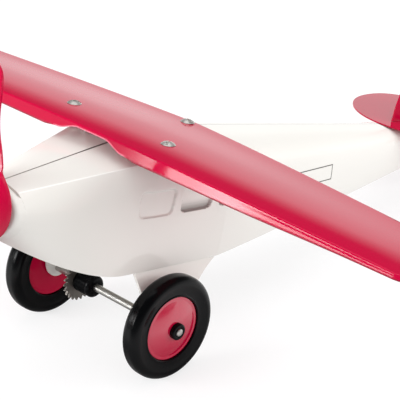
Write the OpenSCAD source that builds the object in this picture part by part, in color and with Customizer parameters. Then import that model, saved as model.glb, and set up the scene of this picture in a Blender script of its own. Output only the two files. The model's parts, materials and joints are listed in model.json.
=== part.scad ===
// Pressed-steel toy monoplane: two body shells that meet on a centre seam, a high
// wing bolted on top, a tail with fin and stabiliser, a free propeller and a main
// axle that carries a click gear. Body axes: +X to the nose, +Y to the left wing,
// +Z up, with the main axle on Y through the body origin. stance() tips the body
// back onto its tail wheel and stands it on the floor.

/* [Stance] */
// Angle of the body's axis above the floor
stance_angle = 12; // [8:0.5:14]

/* [Main wheels] */
// Outer diameter of a main tyre
wheel_d = 76.2; // [70:0.1:84]
// Width of a main tyre
tyre_w = 14.3; // [12:0.1:16]
// Distance between the middle planes of the two wheels
track = 125.8; // [122:0.1:136]
// Outer diameter of a wheel disc
disc_d = 46.6; // [40:0.1:52]
// Sheet thickness of a wheel disc
disc_t = 1; // [0.8:0.1:1.4]
// How far a disc's rim stands out from the wheel's middle plane
disc_rim = 4.7; // [4:0.1:5.5]
// How far the outer disc swells past its rim
disc_swell = 3.9; // [2:0.1:5]
// How far the inner disc swells past its rim
disc_back = 1; // [0.5:0.1:1.5]
// Diameter of the black cap on the hub
cap_d = 12; // [10:0.1:15]
// Thickness of the black cap on the hub
cap_t = 3.4; // [2:0.1:5]

/* [Main axle] */
// Diameter of the axle
axle_d = 5.6; // [5:0.1:6.5]
// How far the axle's tip stands out of the hub cap
axle_tip = 0.9; // [0.3:0.1:2]
// Diameter of the thrust washer at each leg
washer_d = 11; // [9:0.1:13]
// Position of the click gear along the axle
gear_y = -28; // [-34:0.1:-24]
// Diameter over the gear's teeth
gear_d = 32; // [28:0.1:36]
// Depth of a gear tooth
gear_tooth = 2.8; // [2:0.1:3.5]
// Number of gear teeth
gear_n = 24; // [18:1:30]
// Thickness of the gear
gear_t = 1.6; // [1.2:0.1:2.4]
// Diameter of the sleeve beside the gear
drum_d = 16.6; // [14:0.1:20]
// Length of the sleeve beside the gear
drum_l = 16; // [12:0.1:22]
// Depth of the grooves round the sleeve
drum_groove = 0.5; // [0.3:0.05:0.9]
// Number of grooves round the sleeve
drum_grooves = 4; // [2:1:5]

/* [Legs] */
// Sheet thickness of a leg
leg_t = 2; // [1.6:0.1:2.5]
// Radius of a leg's rounded lower end
leg_end_r = 10.8; // [9:0.1:12]
// Height of the end's centre above the axle
leg_end_up = 4; // [2:0.1:5]
// Front of the leg where it leaves the body
leg_front = 19.5; // [17:0.5:23]
// Rear of the leg where it leaves the body
leg_rear = -59.5; // [-62:0.5:-54]
// Height of the tab that laps inside the body wall
leg_tab = 12; // [8:0.5:16]

/* [Body] */
// Sheet thickness of the body shells
wall = 1.2; // [1:0.1:1.6]
// Width of the body across the lower edges at the cabin
body_w = 90; // [84:0.5:96]
// Height of the lower edges above the axle at the cabin
belly_h = 36; // [33:0.5:40]
// Front edge of the shells
nose_x = 110; // [104:0.5:116]
// Where the bonnet goes under the wing
screen_x = 36; // [32:0.5:40]
// Where the cabin ends and the rear body starts to taper
cabin_x = -60; // [-66:0.5:-54]
// Rear end of the shells
tail_x = -385; // [-395:0.5:-370]
// Gap of the seam along the bonnet
seam_gap = 0.9; // [0.4:0.05:1]
// Gap of the seam behind the cabin
ridge_gap = 0.3; // [0.2:0.05:0.5]
// Height of the lower edges at the nose
nose_edge_z = 59.2; // [57:0.2:62]
// Half width of the lower edges at the nose
nose_edge_y = 6; // [4:0.2:9]
// Half width between the bonnet's creases at the nose
nose_crease_y = 16; // [14:0.2:18]
// Height of the bonnet's creases at the nose
nose_crease_z = 95.8; // [94:0.2:97]
// Half width between the bonnet's creases at the wing
screen_crease_y = 37.2; // [35:0.2:39]
// Height of the bonnet's creases at the wing
screen_crease_z = 111.6; // [110:0.2:112]
// Height of the bonnet's seam at the nose
nose_top_z = 99.4; // [98:0.2:101]
// Height of the bonnet's seam at the wing
screen_top_z = 112.5; // [112:0.1:113.5]
// Height of the ridge at the end of the cabin
ridge_z = 120.4; // [119.5:0.1:120.6]
// Height of the flat deck under the stabiliser
deck_z = 97; // [94:0.2:99]
// Height of the lower edges at the tail end
tail_edge_z = 75.5; // [72:0.2:78]
// Half width of the body at the tail end
tail_y = 9; // [8.4:0.1:10.5]
// How far the sides swell out at the nose
nose_swell = 15; // [12:0.5:17]
// How far the sides swell out at the cabin
side_swell = 2; // [1:0.1:3]

/* [Windows] */
// Height of the windows' lower edge
window_z = 75.5; // [72:0.5:78]
// Height of a window
window_h = 18.5; // [16:0.5:20]
// Front edge of the first window
window_x = 24.5; // [23:0.5:27]
// Length of a window
window_l = 29.5; // [27:0.5:31]
// Post between two windows
window_post = 8; // [6:0.5:10]
// Depth of a window's recess
window_deep = 2; // [0.8:0.1:2.4]
// Radius of a window's corners
window_corner = 4; // [2:0.5:5]
// How far a window's front edge leans back at its top
window_lean = 1.6; // [0:0.2:3]
// How far a window's rear edge leans back at its top
window_rake = 3.2; // [0:0.2:4]

/* [Nose] */
// Thickness of the nose cap
nose_cap_t = 6.5; // [6:0.5:10]
// Rounding of the nose cap's front edge
nose_round = 3; // [1:0.5:4]
// Gap between the nose cap and the shells
nose_cap_gap = 0.25; // [0.15:0.05:0.3]
// Height of the propeller's pin above the body axis
prop_z = 86.4; // [84:0.2:88]

/* [Propeller] */
// Radius of the propeller's tips
prop_r = 92; // [84:0.5:98]
// Width of a blade near its tip
blade_w = 15; // [12:0.5:18]
// Width of a blade where it leaves the dome
blade_root_w = 27; // [22:0.5:30]
// Radius where a blade is narrowest
blade_waist = 58; // [50:0.5:62]
// Pitch of a blade
blade_pitch = 16; // [8:0.5:18]
// Angle of the propeller at rest, from upright
prop_turn = 4.5; // [0:0.5:10]
// Sheet thickness of the propeller
prop_t = 1.4; // [1:0.1:1.8]
// Diameter of the domed hub
dome_d = 51.2; // [46:0.2:54]
// Height of the domed hub
dome_h = 14; // [10:0.5:18]
// Diameter of the propeller's pin
prop_pin_d = 5; // [4:0.1:6]
// Running gap between the blades and the nose cap
prop_gap = 0.6; // [0.4:0.1:2]
// Diameter of the pin's head
prop_head_d = 10; // [8:0.1:12]

/* [Wing] */
// Span of the wing
span = 570; // [540:1:600]
// Leading edge of the wing
wing_x = 36; // [33:0.5:40]
// Chord of the wing at the middle
root_chord = 101.5; // [98:0.5:106]
// Chord lost to the trailing edge's taper on each side
chord_taper = 24; // [18:0.5:30]
// Sheet thickness of the wing
wing_t = 1; // [0.8:0.1:1.2]
// Height of the leading edge at the middle
wing_lead_z = 126.1; // [125.5:0.1:127]
// How much lower the leading edge is at the tip
wing_lead_drop = 4.6; // [3:0.1:5.5]
// Height of the trailing edge
wing_trail_z = 121.5; // [121.4:0.1:122.5]
// Height of the front flange's straight lower edge
wing_skirt_z = 118.8; // [118:0.1:119.5]
// How much lower the front flange's edge is at the tip
wing_skirt_drop = 0.7; // [0:0.1:1]
// Forward lean of the front flange, as a slope
flange_lean = 0.25; // [0:0.05:0.3]
// Height of the rear flange's lower edge
wing_rear_z = 117.3; // [116:0.1:118]
// Height of the camber above the chord line
wing_camber = 3.7; // [3:0.1:4.5]
// Depth of the cut-out in the front flange over the bonnet
arch_h = 4.8; // [4:0.1:5.2]
// Width of the cut-out in the front flange over the bonnet
arch_w = 66; // [56:1:76]
// Length of a rounded wing tip
tip_l = 62; // [50:1:80]

/* [Wing screws] */
// Distance between the two front screws
screw_span = 95.4; // [92:0.2:100]
// Position of the front screws
screw_x = 10; // [6:0.5:14]
// Position of the rear screw
rear_screw_x = -57; // [-58:0.5:-52]
// Diameter of a screw's shank
screw_d = 4.8; // [4:0.1:5.5]
// Diameter of a screw's head
screw_head_d = 10.4; // [9:0.1:12]
// Height of a screw's head
screw_head_h = 3; // [2:0.1:4]
// Width across a nut's flats
nut_af = 8; // [7:0.1:9]
// Thickness of a nut
nut_t = 3; // [2.4:0.1:4]
// Sheet thickness of the saddle under the wing
saddle_t = 1.5; // [1.2:0.1:2]
// Length of the saddle along the body
saddle_l = 16; // [13:0.5:18]
// Distance between the saddle's two feet
saddle_feet = 50; // [44:0.5:56]

/* [Tail] */
// Sheet thickness of the fin and stabiliser
tail_t = 1.2; // [1:0.1:1.5]
// Front edge of the stabiliser
stab_front = -287; // [-292:0.5:-280]
// Length of the stabiliser along the body
stab_l = 107; // [96:0.5:114]
// Span of the stabiliser
stab_span = 132; // [120:0.5:150]
// How far the stabiliser's tips sweep back
stab_sweep = 12; // [6:0.5:16]
// Front edge of the fin
fin_front = -301; // [-306:0.5:-297]
// Length of the fin along the body
fin_l = 88; // [80:0.5:92]
// Height of the fin
fin_h = 66; // [56:0.5:76]
// Width of the tabs at the fin's foot
fin_tab = 12; // [11:0.5:14]
// Diameter of a rivet's shank
rivet_d = 3; // [2.6:0.1:3.4]
// Diameter of a rivet's head
rivet_head_d = 6; // [5:0.1:7]

/* [Tail wheel] */
// Diameter of the tail wheel
tail_wheel_d = 26; // [22:0.2:29]
// Width of the tail wheel
tail_wheel_w = 8; // [7:0.1:9]
// Position of the tail wheel
tail_wheel_x = -364; // [-368:0.5:-360]
// Diameter of the tail wheel's pin
tail_pin_d = 3; // [2.6:0.1:3.4]
// Sheet thickness of the tail wheel's bracket
bracket_t = 1.2; // [1:0.1:1.5]

/* [Click reed] */
// Sheet thickness of the reed
reed_t = 0.6; // [0.5:0.05:0.8]
// Width of the reed
reed_w = 8; // [6:0.5:10]
// Gap between the reed's tip and the gear's teeth
reed_gap = 0.3; // [0.2:0.05:0.5]

/* [Fits] */
// Clearance of a turning shaft in its bore, on the radius
run_fit = 0.08; // [0.04:0.01:0.1]
// Clearance of a piece fixed on a shaft, on the radius
set_fit = 0.03; // [0.02:0.01:0.05]
// Gap between two pieces that seat on each other
seat = 0.2; // [0.15:0.05:0.3]

/* [Hidden] */
$fn = 64;
cream = "ivory";
red = "crimson";
black = "#1c1c1e";
steel = "silver";
lap = 0.01;
wheel_r = wheel_d / 2;
wheel_y = track / 2;
axle_r = axle_d / 2;
hub_face = wheel_y + disc_rim + disc_swell;
hub_back = wheel_y - disc_rim - disc_back;
cap_y = hub_face + seat / 2;
axle_end = cap_y + cap_t + axle_tip;
pad_out = hub_back - 2 * seat - 1.9;
pad_in = pad_out - leg_t;
washer_t = hub_back - pad_out - 2 * seat;
drum_y = gear_y + gear_t / 2 + seat / 2;
nose_face = nose_x + nose_cap_gap + nose_cap_t;
prop_back = prop_gap + blade_root_w / 2 * sin(blade_pitch) + prop_t / 2;
prop_x = nose_face + prop_back;
dome_r = dome_d / 2;
wing_trail_x = wing_x - root_chord;
half_span = span / 2;
window_step = window_l + window_post;
window_ramp = 1.2;
window_top = window_z + window_h;
stab_z = deck_z + seat;
fin_z = stab_z + tail_t + seat;
tail_wheel_r = tail_wheel_d / 2;
tail_wheel_z = (tail_wheel_r - wheel_r - tail_wheel_x * sin(stance_angle)) / cos(stance_angle);

function mix(a, b, t) = a + (b - a) * t;
function clamp(v) = max(0, min(1, v));
function ease(t) = let (c = clamp(t)) c * c * (3 - 2 * c);
function unit(v) = v / norm(v);

// Body lines, each a height or half width as a function of the position x
cabin_front = screen_x - 12;
blend_l = screen_x - cabin_x - 20;
function to_nose(x, from) = clamp((x - from) / (nose_x - from));
function to_tail(x) = clamp((cabin_x - x) / (cabin_x - tail_x));
function aft(x) = ease((screen_x - x) / blend_l);
function bonnet(x) = (nose_x - x) / (nose_x - screen_x);
function edge_z(x) = x > cabin_x
    ? mix(belly_h, nose_edge_z, pow(to_nose(x, screen_x - 2), 1.7))
    : mix(belly_h, tail_edge_z, pow(to_tail(x), 1.1));
function edge_y(x) = x > cabin_x
    ? mix(body_w / 2, nose_edge_y, pow(to_nose(x, cabin_front), 2.2))
    : mix(body_w / 2, tail_y, pow(to_tail(x), 1.05));
roof_x = screen_x - 14;
bonnet_rise = (screen_top_z - nose_top_z) / (nose_x - screen_x);
ridge_fall = 0.0991;
function bonnet_top(x) = mix(nose_top_z, screen_top_z, bonnet(x));
deck_x = stab_front + 3;
deck_step = 0.5;
function ridge_top(x) = mix(deck_z, max(deck_z, ridge_z - ridge_fall * (cabin_x - x)),
    clamp((x - deck_x) / deck_step));
function roof_top(x) = let (l = roof_x - cabin_x, t = (roof_x - x) / l)
    bonnet_top(roof_x) * (1 + 2 * t) * pow(1 - t, 2)
    + bonnet_rise * l * t * pow(1 - t, 2)
    + ridge_z * t * t * (3 - 2 * t)
    + ridge_fall * l * t * t * (1 - t);
function top_z(x) = x > roof_x ? bonnet_top(x) : x > cabin_x ? roof_top(x) : ridge_top(x);
function crease_y(x) = mix(
    min(mix(nose_crease_y, screen_crease_y, bonnet(x)), body_w / 2 - 1.5),
    edge_y(x), aft(x));
function crease_z(x) = mix(
    min(mix(nose_crease_z, screen_crease_z, bonnet(x)), top_z(x) - 0.8),
    mix(edge_z(x), top_z(x), mix(0.75, 0.62, to_tail(x))), aft(x));
function swell(x) = x > screen_x
    ? mix(side_swell, nose_swell, pow(to_nose(x, screen_x), 1.5))
    : mix(side_swell, 0.6, to_tail(x));
function roundness(x) = mix(1, 2, aft(x));
function half_gap(x) = mix(seam_gap, ridge_gap, aft(x)) / 2;
function side_y(x, z) =
    let (s = clamp((z - edge_z(x)) / (crease_z(x) - edge_z(x))))
    mix(edge_y(x), crease_y(x), s) + swell(x) * (1 - pow(abs(2 * s - 1), 2.5));
function roof_z(x, y) = crease_z(x) + (top_z(x) - crease_z(x))
    * pow(1 - pow(min(1, abs(y) / crease_y(x)), 2), 1 / roundness(x));

// Pressed windows
function window_front(i) = window_x - i * window_step;
function window_at(x, z) = max([for (i = [0:2]) let (
    up = clamp((z - window_z) / window_h),
    front = window_front(i) - window_lean * up,
    rear = window_front(i) - window_l - window_rake * up,
    a = abs(x - (front + rear) / 2) - (front - rear) / 2 + window_corner,
    b = abs(z - (window_z + window_top) / 2) - window_h / 2 + window_corner,
    out = norm([max(a, 0), max(b, 0)]) + min(max(a, b), 0))
    clamp((window_corner - out) / window_ramp)]);

// Heights where a section's side is sampled, on the windows' edges in the cabin
function near_cabin(x) = min(ease((screen_x + 40 - x) / 36), ease((x - cabin_x + 120) / 90));
function low_line(x) = mix(mix(edge_z(x), crease_z(x), 0.42), window_z, near_cabin(x));
function high_line(x) = mix(mix(edge_z(x), crease_z(x), 0.72), window_top, near_cabin(x));
function side_levels(x) = let (e = edge_z(x), c = crease_z(x), l = low_line(x), h = high_line(x)) concat(
    [for (s = [0, 0.12, 0.3, 0.55, 0.8]) mix(e, l, s)],
    [l, l + window_ramp, l + window_corner * 0.7, mix(l, h, 0.35),
        mix(l, h, 0.65), h - window_corner * 0.7, h - window_ramp, h],
    [for (s = [0.35, 0.7, 1]) mix(h, c, s)]);
roof_steps = 7;
function plain_section(x) = concat(
    [for (z = side_levels(x)) [side_y(x, z), z]],
    [for (i = [1:roof_steps])
        let (y = max(half_gap(x), crease_y(x) * cos(90 * i / roof_steps))) [y, roof_z(x, y)]]);
function pressed(x, outer, p) = [for (i = [0:len(p) - 1])
    p[i] - [window_deep * window_at(x, outer[i][1]), 0]];
function section(x) = let (o = plain_section(x)) pressed(x, o, o);
function inset(p, d) = [for (i = [0:len(p) - 1])
    let (a = p[max(0, i - 1)], b = p[min(len(p) - 1, i + 1)], t = unit(b - a))
    i == len(p) - 1 ? [p[i][0], p[i][1] - d]
    : i == 0 ? [p[i][0] - d, p[i][1]]
    : p[i] - d * [t[1], -t[0]]];
function ring(x) =
    let (c = plain_section(x), o = pressed(x, c, c), n = pressed(x, c, inset(c, wall)), m = len(c))
    [for (i = [0:2 * m - 1]) let (p = i < m ? o[i] : n[2 * m - 1 - i]) [x, p[0], p[1]]];
function spread(a, b, n) = [for (i = [0:n - 1]) mix(a, b, i / n)];
function window_stations(i) = let (f = window_front(i), r = f - window_l)
    [f, f - window_ramp, f - window_ramp - window_lean, f - window_corner - window_lean,
        r + window_corner, r + window_ramp, r, r - window_rake + window_ramp, r - window_rake];
stations = concat(
    spread(nose_x, screen_x, 9),
    [screen_x, mix(screen_x, window_x, 0.5)],
    window_stations(0), window_stations(1), window_stations(2),
    spread(window_front(2) - window_l - window_rake - 8, deck_x + deck_step, 8),
    [deck_x + deck_step],
    spread(deck_x, tail_x, 3),
    [tail_x]);

// Closed loft through rings of equal length. A ring runs out along one line and back
// along another, so each end is closed by a strip between the two lines.
function strip(at, m, flip) = [for (j = [0:m / 2 - 2]) each flip
    ? [[at + j, at + m - 1 - j, at + j + 1], [at + j + 1, at + m - 1 - j, at + m - 2 - j]]
    : [[at + j, at + j + 1, at + m - 1 - j], [at + j + 1, at + m - 2 - j, at + m - 1 - j]]];
module loft(rings) {
    m = len(rings[0]);
    n = len(rings);
    polyhedron(
        points = [for (r = rings) each r],
        faces = concat(
            strip(0, m, true),
            [for (i = [0:n - 2]) for (j = [0:m - 1]) let (k = (j + 1) % m)
                each [[i * m + j, i * m + k, (i + 1) * m + j],
                    [i * m + k, (i + 1) * m + k, (i + 1) * m + j]]],
            strip((n - 1) * m, m, false)));
}

// Whole outer form of the body between two positions, for cutting what sits on it
module body_form(x0, x1, grow) {
    loft([for (i = [0:6]) let (x = mix(x1, x0, i / 6), s = section(x), m = len(s))
        [for (j = [0:2 * m - 1]) let (p = j < m ? s[j] : s[2 * m - 1 - j])
            [x, j < m ? p[0] : -p[0], p[1] + grow]]]);
}

// Wing lines, with y along the span
function tip(y) = let (k = clamp((abs(y) - half_span + tip_l) / tip_l)) sqrt(1 - k * k);
tip_x = wing_x - 40;
function lead_x(y) = mix(tip_x, wing_x, tip(y));
function trail_x(y) = let (k = clamp(abs(y) / (half_span - tip_l)))
    mix(tip_x, wing_trail_x + chord_taper * pow(k, 1.25), tip(y));
function lead_z(y) = wing_lead_z - wing_lead_drop * abs(y) / half_span;
function wing_top(x, y) =
    let (c = clamp((lead_x(y) - x) / (lead_x(y) - trail_x(y))))
    mix(lead_z(y), wing_trail_z, c) + wing_camber * tip(y) * (1 - 0.4 * abs(y) / half_span)
    * 6.75 * c * pow(1 - c, 2);
function arch(y) = arch_h * (1 - ease((abs(y) - arch_w * 0.2) / (arch_w * 0.3)));
function skirt_z(y) = wing_skirt_z - wing_skirt_drop * abs(y) / half_span + arch(y);
function rear_skirt_z(y) = mix(wing_trail_z - wing_t - 0.3, wing_rear_z,
    ease((abs(y) - body_w / 2 + 3) / 8));
chord_steps = 9;
edge_round = 1.2;
function wing_line(y, d) = let (l = lead_x(y) - d, r = trail_x(y) + d) concat(
    [[l + flange_lean * tip(y) * (lead_z(y) - edge_round - skirt_z(y)), skirt_z(y)],
        [l, lead_z(y) - edge_round]],
    [for (i = [0:chord_steps]) let (c = i / chord_steps,
        x = mix(l - edge_round * 0.6 * tip(y), r + edge_round * 0.6 * tip(y), pow(c, 1.15)))
        [x, wing_top(x, y) - d]],
    [[r, wing_trail_z - d - 0.15], [r, min(rear_skirt_z(y), wing_trail_z - d - 0.3)]]);
function wing_ring(y) = let (o = wing_line(y, 0), n = wing_line(y, wing_t), m = len(o))
    [for (i = [0:2 * m - 1]) let (p = i < m ? o[i] : n[2 * m - 1 - i]) [p[0], y, p[1]]];
tip_places = [0.998, 0.985, 0.95, 0.88, 0.76, 0.6, 0.4, 0.2];
arch_places = [0.5, 0.44, 0.38, 0.32, 0.26, 0.2];
wing_side = concat(
    [for (k = tip_places) half_span - tip_l * (1 - k)],
    spread(half_span - tip_l, arch_w * 0.6 + 10, 6),
    [body_w / 2 + 6, body_w / 2 + 1],
    [for (k = arch_places) arch_w * k]);
wing_stations = concat(
    [for (y = wing_side) -y], [-1.3, 1.9],
    [for (i = [len(wing_side) - 1:-1:0]) wing_side[i]]);

// Stabiliser and fin outlines
function stab_point(a) = let (y = stab_span / 2 * sin(a), p = pow(abs(cos(a)), 0.9))
    [stab_front - stab_l / 2 + (stab_l / 2) * p * sign(cos(a))
        - stab_sweep * pow(y / (stab_span / 2), 2), y];
function fin_point(a) = [fin_front - fin_l / 2 + (fin_l / 2) * cos(a) - fin_h * 0.2 * sin(a) * cos(a / 2),
    fin_z + fin_h * pow(sin(a), 0.8)];
fin_outline = [for (i = [0:24]) fin_point(180 * i / 24)];
blade_root = dome_r - 6;
function blade_half(r) = blade_w / 2 * (r > blade_waist
    ? 0.88 + 0.12 * ease((r - blade_waist) / (prop_r - blade_w - blade_waist))
    : 0.88 + (blade_root_w / blade_w - 0.88) * pow((blade_waist - r) / (blade_waist - dome_r), 2));
tip_round = blade_w * 0.8;
function blade_side(s) = concat(
    [for (i = [0:8]) let (r = mix(blade_root, prop_r - tip_round, i / 8))
        [s * blade_half(max(dome_r, r)), r]],
    [for (i = [1:8]) let (a = 90 * i / 8)
        [s * blade_w / 2 * cos(a), prop_r - tip_round * (1 - sin(a))]]);

// Reach of the body along the floor, so that the part stands centred on its origin
function floor_x(x, z) = x * cos(stance_angle) - z * sin(stance_angle);
tail_reach = min([for (p = fin_outline) floor_x(p[0], p[1])]);
blade_reach = [for (p = blade_side(1)) for (s = [-1, 1])
    floor_x(prop_x + s * prop_t / 2 * cos(blade_pitch) + p[0] * sin(blade_pitch),
        prop_z - p[1] * cos(prop_turn)
        + (p[0] * cos(blade_pitch) - s * prop_t / 2 * sin(blade_pitch)) * sin(prop_turn))];
shift_x = -(tail_reach + max(blade_reach)) / 2;

module stance() {
    translate([shift_x, 0, wheel_r]) rotate([0, -stance_angle, 0]) children();
}

// Round piece on the main axle, its profile as [radius, position]
module on_axle(y) {
    translate([0, y, 0]) rotate([-90, 0, 0]) children();
}
module each_side(s) {
    if (s > 0) children();
    else mirror([0, 1, 0]) children();
}

// Height at which a screw head clears the wing all round its rim
function screw_seat(x, y) = max([for (i = [-1:1]) for (j = [-1:1])
    wing_top(x + i * screw_head_d / 2, y + j * screw_head_d / 2)]);
rear_screw_z = screw_seat(rear_screw_x, 0);
front_screw_y = screw_span / 2;
front_screw_z = screw_seat(screw_x, front_screw_y);
saddle_top = min([for (s = [-1, 1]) for (y = [0, front_screw_y + 7])
    wing_top(screw_x + s * saddle_l / 2, y)]) - wing_t - seat;
fin_rivet_y = fin_tab / 2;
fin_rivet_front = fin_front - 0.28 * fin_l;
fin_rivet_rear = fin_front - 0.72 * fin_l;
cross_rivet_x = tail_x + 9;
cross_rivet_z = mix(tail_edge_z, deck_z, 0.45);

module shell_left() {
    difference() {
        loft([for (x = stations) ring(x)]);
        translate([rear_screw_x, 0, ridge_z - 20]) cylinder(d = screw_d + 0.4, h = 40);
        translate([fin_rivet_front, fin_rivet_y, deck_z - 12]) cylinder(d = rivet_d + 2 * set_fit, h = 24);
        translate([cross_rivet_x, 0, cross_rivet_z]) rotate([-90, 0, 0])
            cylinder(d = rivet_d + 2 * set_fit, h = 2 * tail_y);
    }
}
module shell_right() {
    mirror([0, 1, 0]) difference() {
        loft([for (x = stations) ring(x)]);
        translate([rear_screw_x, 0, ridge_z - 20]) cylinder(d = screw_d + 0.4, h = 40);
        translate([fin_rivet_rear, fin_rivet_y, deck_z - 12]) cylinder(d = rivet_d + 2 * set_fit, h = 24);
        translate([cross_rivet_x, 0, cross_rivet_z]) rotate([-90, 0, 0])
            cylinder(d = rivet_d + 2 * set_fit, h = 2 * tail_y);
    }
}
module fuselage_left() {
    color(cream) stance() shell_left();
}
module fuselage_right() {
    color(cream) stance() shell_right();
}

function both_sides(p) = concat(p, [for (i = [len(p) - 1:-1:0]) [-p[i][0], p[i][1]]]);
function drawn_in(outline, d) = both_sides(
    [for (p = inset(outline, d)) [max(p[0], lap), max(p[1], nose_edge_z + d)]]);
module nose_slice(x, l, d) {
    translate([x, 0, 0]) rotate([90, 0, 90]) linear_extrude(l)
        polygon(drawn_in(plain_section(nose_x), d));
}
module nose_cap() {
    color(cream) stance() difference() {
        hull() {
            nose_slice(nose_face - nose_cap_t, nose_cap_t - nose_round, 0);
            for (a = [30, 60, 90])
                nose_slice(nose_face - nose_round * (1 - sin(a)) - lap, lap, nose_round * (1 - cos(a)));
        }
        nose_slice(nose_face - nose_cap_t - 1, nose_cap_t + 1 - nose_round, wall);
        nose_slice(nose_face - nose_round - 1, nose_round + 1 - wall, nose_round + wall);
        translate([nose_x, 0, prop_z]) rotate([0, 90, 0])
            cylinder(d = prop_pin_d + 2 * set_fit, h = nose_cap_t + 2);
    }
}

// Leg: a tab inside the wall, a splayed plate and an upright pad for the axle
leg_tab_out = body_w / 2 - wall - seat;
leg_fold_z = belly_h - 1;
leg_pad_top = leg_end_up + leg_end_r * 0.6;
leg_flare = 4;
splay = atan((pad_out - leg_tab_out) / (leg_fold_z - leg_pad_top));
leg_end = [0, leg_end_up];
// Point where a line from p touches the rounded end, on the side s
function leg_touch(p, s) = let (v = p - leg_end, a = atan2(v[1], v[0]), b = acos(leg_end_r / norm(v)))
    leg_end + leg_end_r * [cos(a + s * b), sin(a + s * b)];
rear_start = [leg_rear + leg_flare, leg_fold_z];
front_start = [leg_front, leg_fold_z];
rear_touch = leg_touch(rear_start, 1);
front_touch = leg_touch(front_start, -1);
function at_height(a, b, z) = mix(a, b, (z - a[1]) / (b[1] - a[1]));
function flare(start, touch, out) = [for (i = [0:6]) let (t = i / 6,
    p = at_height(start, touch, mix(leg_fold_z, leg_fold_z - 11, t)))
    [p[0] + out * pow(1 - t, 2.2), p[1]]];
leg_outline = concat(
    [front_start, at_height(front_start, front_touch, leg_pad_top),
        at_height(rear_start, rear_touch, leg_pad_top)],
    [for (i = [6:-1:0]) flare(rear_start, rear_touch, -leg_flare)[i]]);
module leg() {
    difference() {
        union() {
            // tab against the wall
            translate([leg_rear + 6, leg_tab_out - leg_t, leg_fold_z - 1])
                cube([leg_front - leg_rear - 7, leg_t, leg_tab + 1]);
            // splayed plate
            translate([0, leg_tab_out, leg_fold_z]) rotate([90 + splay, 0, 0]) linear_extrude(leg_t)
                polygon([for (p = leg_outline) [p[0], (p[1] - leg_fold_z) / cos(splay)]]);
            // pad
            translate([0, pad_out, 0]) rotate([90, 0, 0]) linear_extrude(leg_t) union() {
                translate(leg_end) circle(r = leg_end_r);
                polygon([at_height(front_start, front_touch, leg_pad_top + 0.8),
                    front_touch, leg_end, rear_touch,
                    at_height(rear_start, rear_touch, leg_pad_top + 0.8)]);
            }
        }
        translate([0, pad_in - 20, 0]) rotate([-90, 0, 0]) cylinder(r = axle_r + run_fit, h = 40);
    }
}
module left_leg() {
    color(cream) stance() leg();
}
module right_leg() {
    color(cream) stance() mirror([0, 1, 0]) difference() {
        leg();
        reed_hole();
    }
}

module wing() {
    color(red) stance() difference() {
        loft([for (y = wing_stations) wing_ring(y)]);
        for (s = [-1, 1]) translate([screw_x, s * front_screw_y, wing_skirt_z])
            cylinder(d = screw_d + 0.3, h = 30);
        translate([rear_screw_x, 0, wing_skirt_z]) cylinder(d = screw_d + 0.3, h = 30);
    }
}

// Saddle: a strap under the wing on two feet that follow the roof
module wing_saddle() {
    reach = screw_span + 14;
    color(steel) stance() difference() {
        union() {
            translate([screw_x - saddle_l / 2, -reach / 2, saddle_top - saddle_t])
                cube([saddle_l, reach, saddle_t]);
            for (s = [-1, 1]) translate([screw_x - saddle_l / 2,
                s * saddle_feet / 2 - saddle_t / 2, top_z(screw_x) - 8])
                cube([saddle_l, saddle_t, saddle_top - top_z(screw_x) + 8 - lap]);
        }
        body_form(screw_x - saddle_l, screw_x + saddle_l, seat);
        for (s = [-1, 1]) translate([screw_x, s * front_screw_y, saddle_top - 10])
            cylinder(d = screw_d + 2 * set_fit, h = 20);
    }
}

module round_head(d, h) {
    r = (d * d / 4 + h * h) / (2 * h);
    rotate_extrude() intersection() {
        translate([0, h - r]) circle(r = r);
        square([d, h]);
    }
}
module wing_screw(x, y, z, l) {
    color(steel) stance() translate([x, y, z]) {
        translate([0, 0, seat / 4]) round_head(screw_head_d, screw_head_h);
        translate([0, 0, -l]) cylinder(d = screw_d, h = l + 1);
    }
}
front_grip = front_screw_z - saddle_top + saddle_t + nut_t + 2;
rear_grip = rear_screw_z - ridge_z + wall + nut_t + 4;
module wing_screw_left() {
    wing_screw(screw_x, front_screw_y, front_screw_z, front_grip);
}
module wing_screw_right() {
    wing_screw(screw_x, -front_screw_y, front_screw_z, front_grip);
}
module wing_screw_rear() {
    wing_screw(rear_screw_x, 0, rear_screw_z, rear_grip);
}
module nut(x, y, z) {
    color(steel) stance() translate([x, y, z - nut_t]) difference() {
        cylinder(d = nut_af / cos(30), h = nut_t, $fn = 6);
        translate([0, 0, -1]) cylinder(d = screw_d + 2 * set_fit, h = nut_t + 2);
    }
}
module wing_nut_left() {
    nut(screw_x, front_screw_y, saddle_top - saddle_t - lap);
}
module wing_nut_right() {
    nut(screw_x, -front_screw_y, saddle_top - saddle_t - lap);
}
module wing_nut_rear() {
    nut(rear_screw_x, 0, min(roof_z(rear_screw_x - nut_af / 2, 0),
        roof_z(rear_screw_x, nut_af / 2)) - wall - seat);
}

module stabiliser() {
    color(red) stance() difference() {
        translate([0, 0, stab_z]) linear_extrude(tail_t)
            polygon([for (i = [0:71]) stab_point(5 * i)]);
        translate([fin_rivet_front, fin_rivet_y, stab_z - 1])
            cylinder(d = rivet_d + 2 * set_fit, h = tail_t + 2);
        translate([fin_rivet_rear, -fin_rivet_y, stab_z - 1])
            cylinder(d = rivet_d + 2 * set_fit, h = tail_t + 2);
    }
}
module fin_tab_at(x, s) {
    translate([x, 0, fin_z]) difference() {
        translate([-fin_tab / 2, s > 0 ? -tail_t / 2 : -fin_tab, 0])
            cube([fin_tab, fin_tab + tail_t / 2, tail_t]);
        translate([0, s * fin_rivet_y, -1]) cylinder(d = rivet_d + 2 * set_fit, h = tail_t + 2);
    }
}
module fin() {
    color(red) stance() union() {
        translate([0, tail_t / 2, 0]) rotate([90, 0, 0]) linear_extrude(tail_t) polygon(fin_outline);
        fin_tab_at(fin_rivet_front, 1);
        fin_tab_at(fin_rivet_rear, -1);
    }
}
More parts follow.
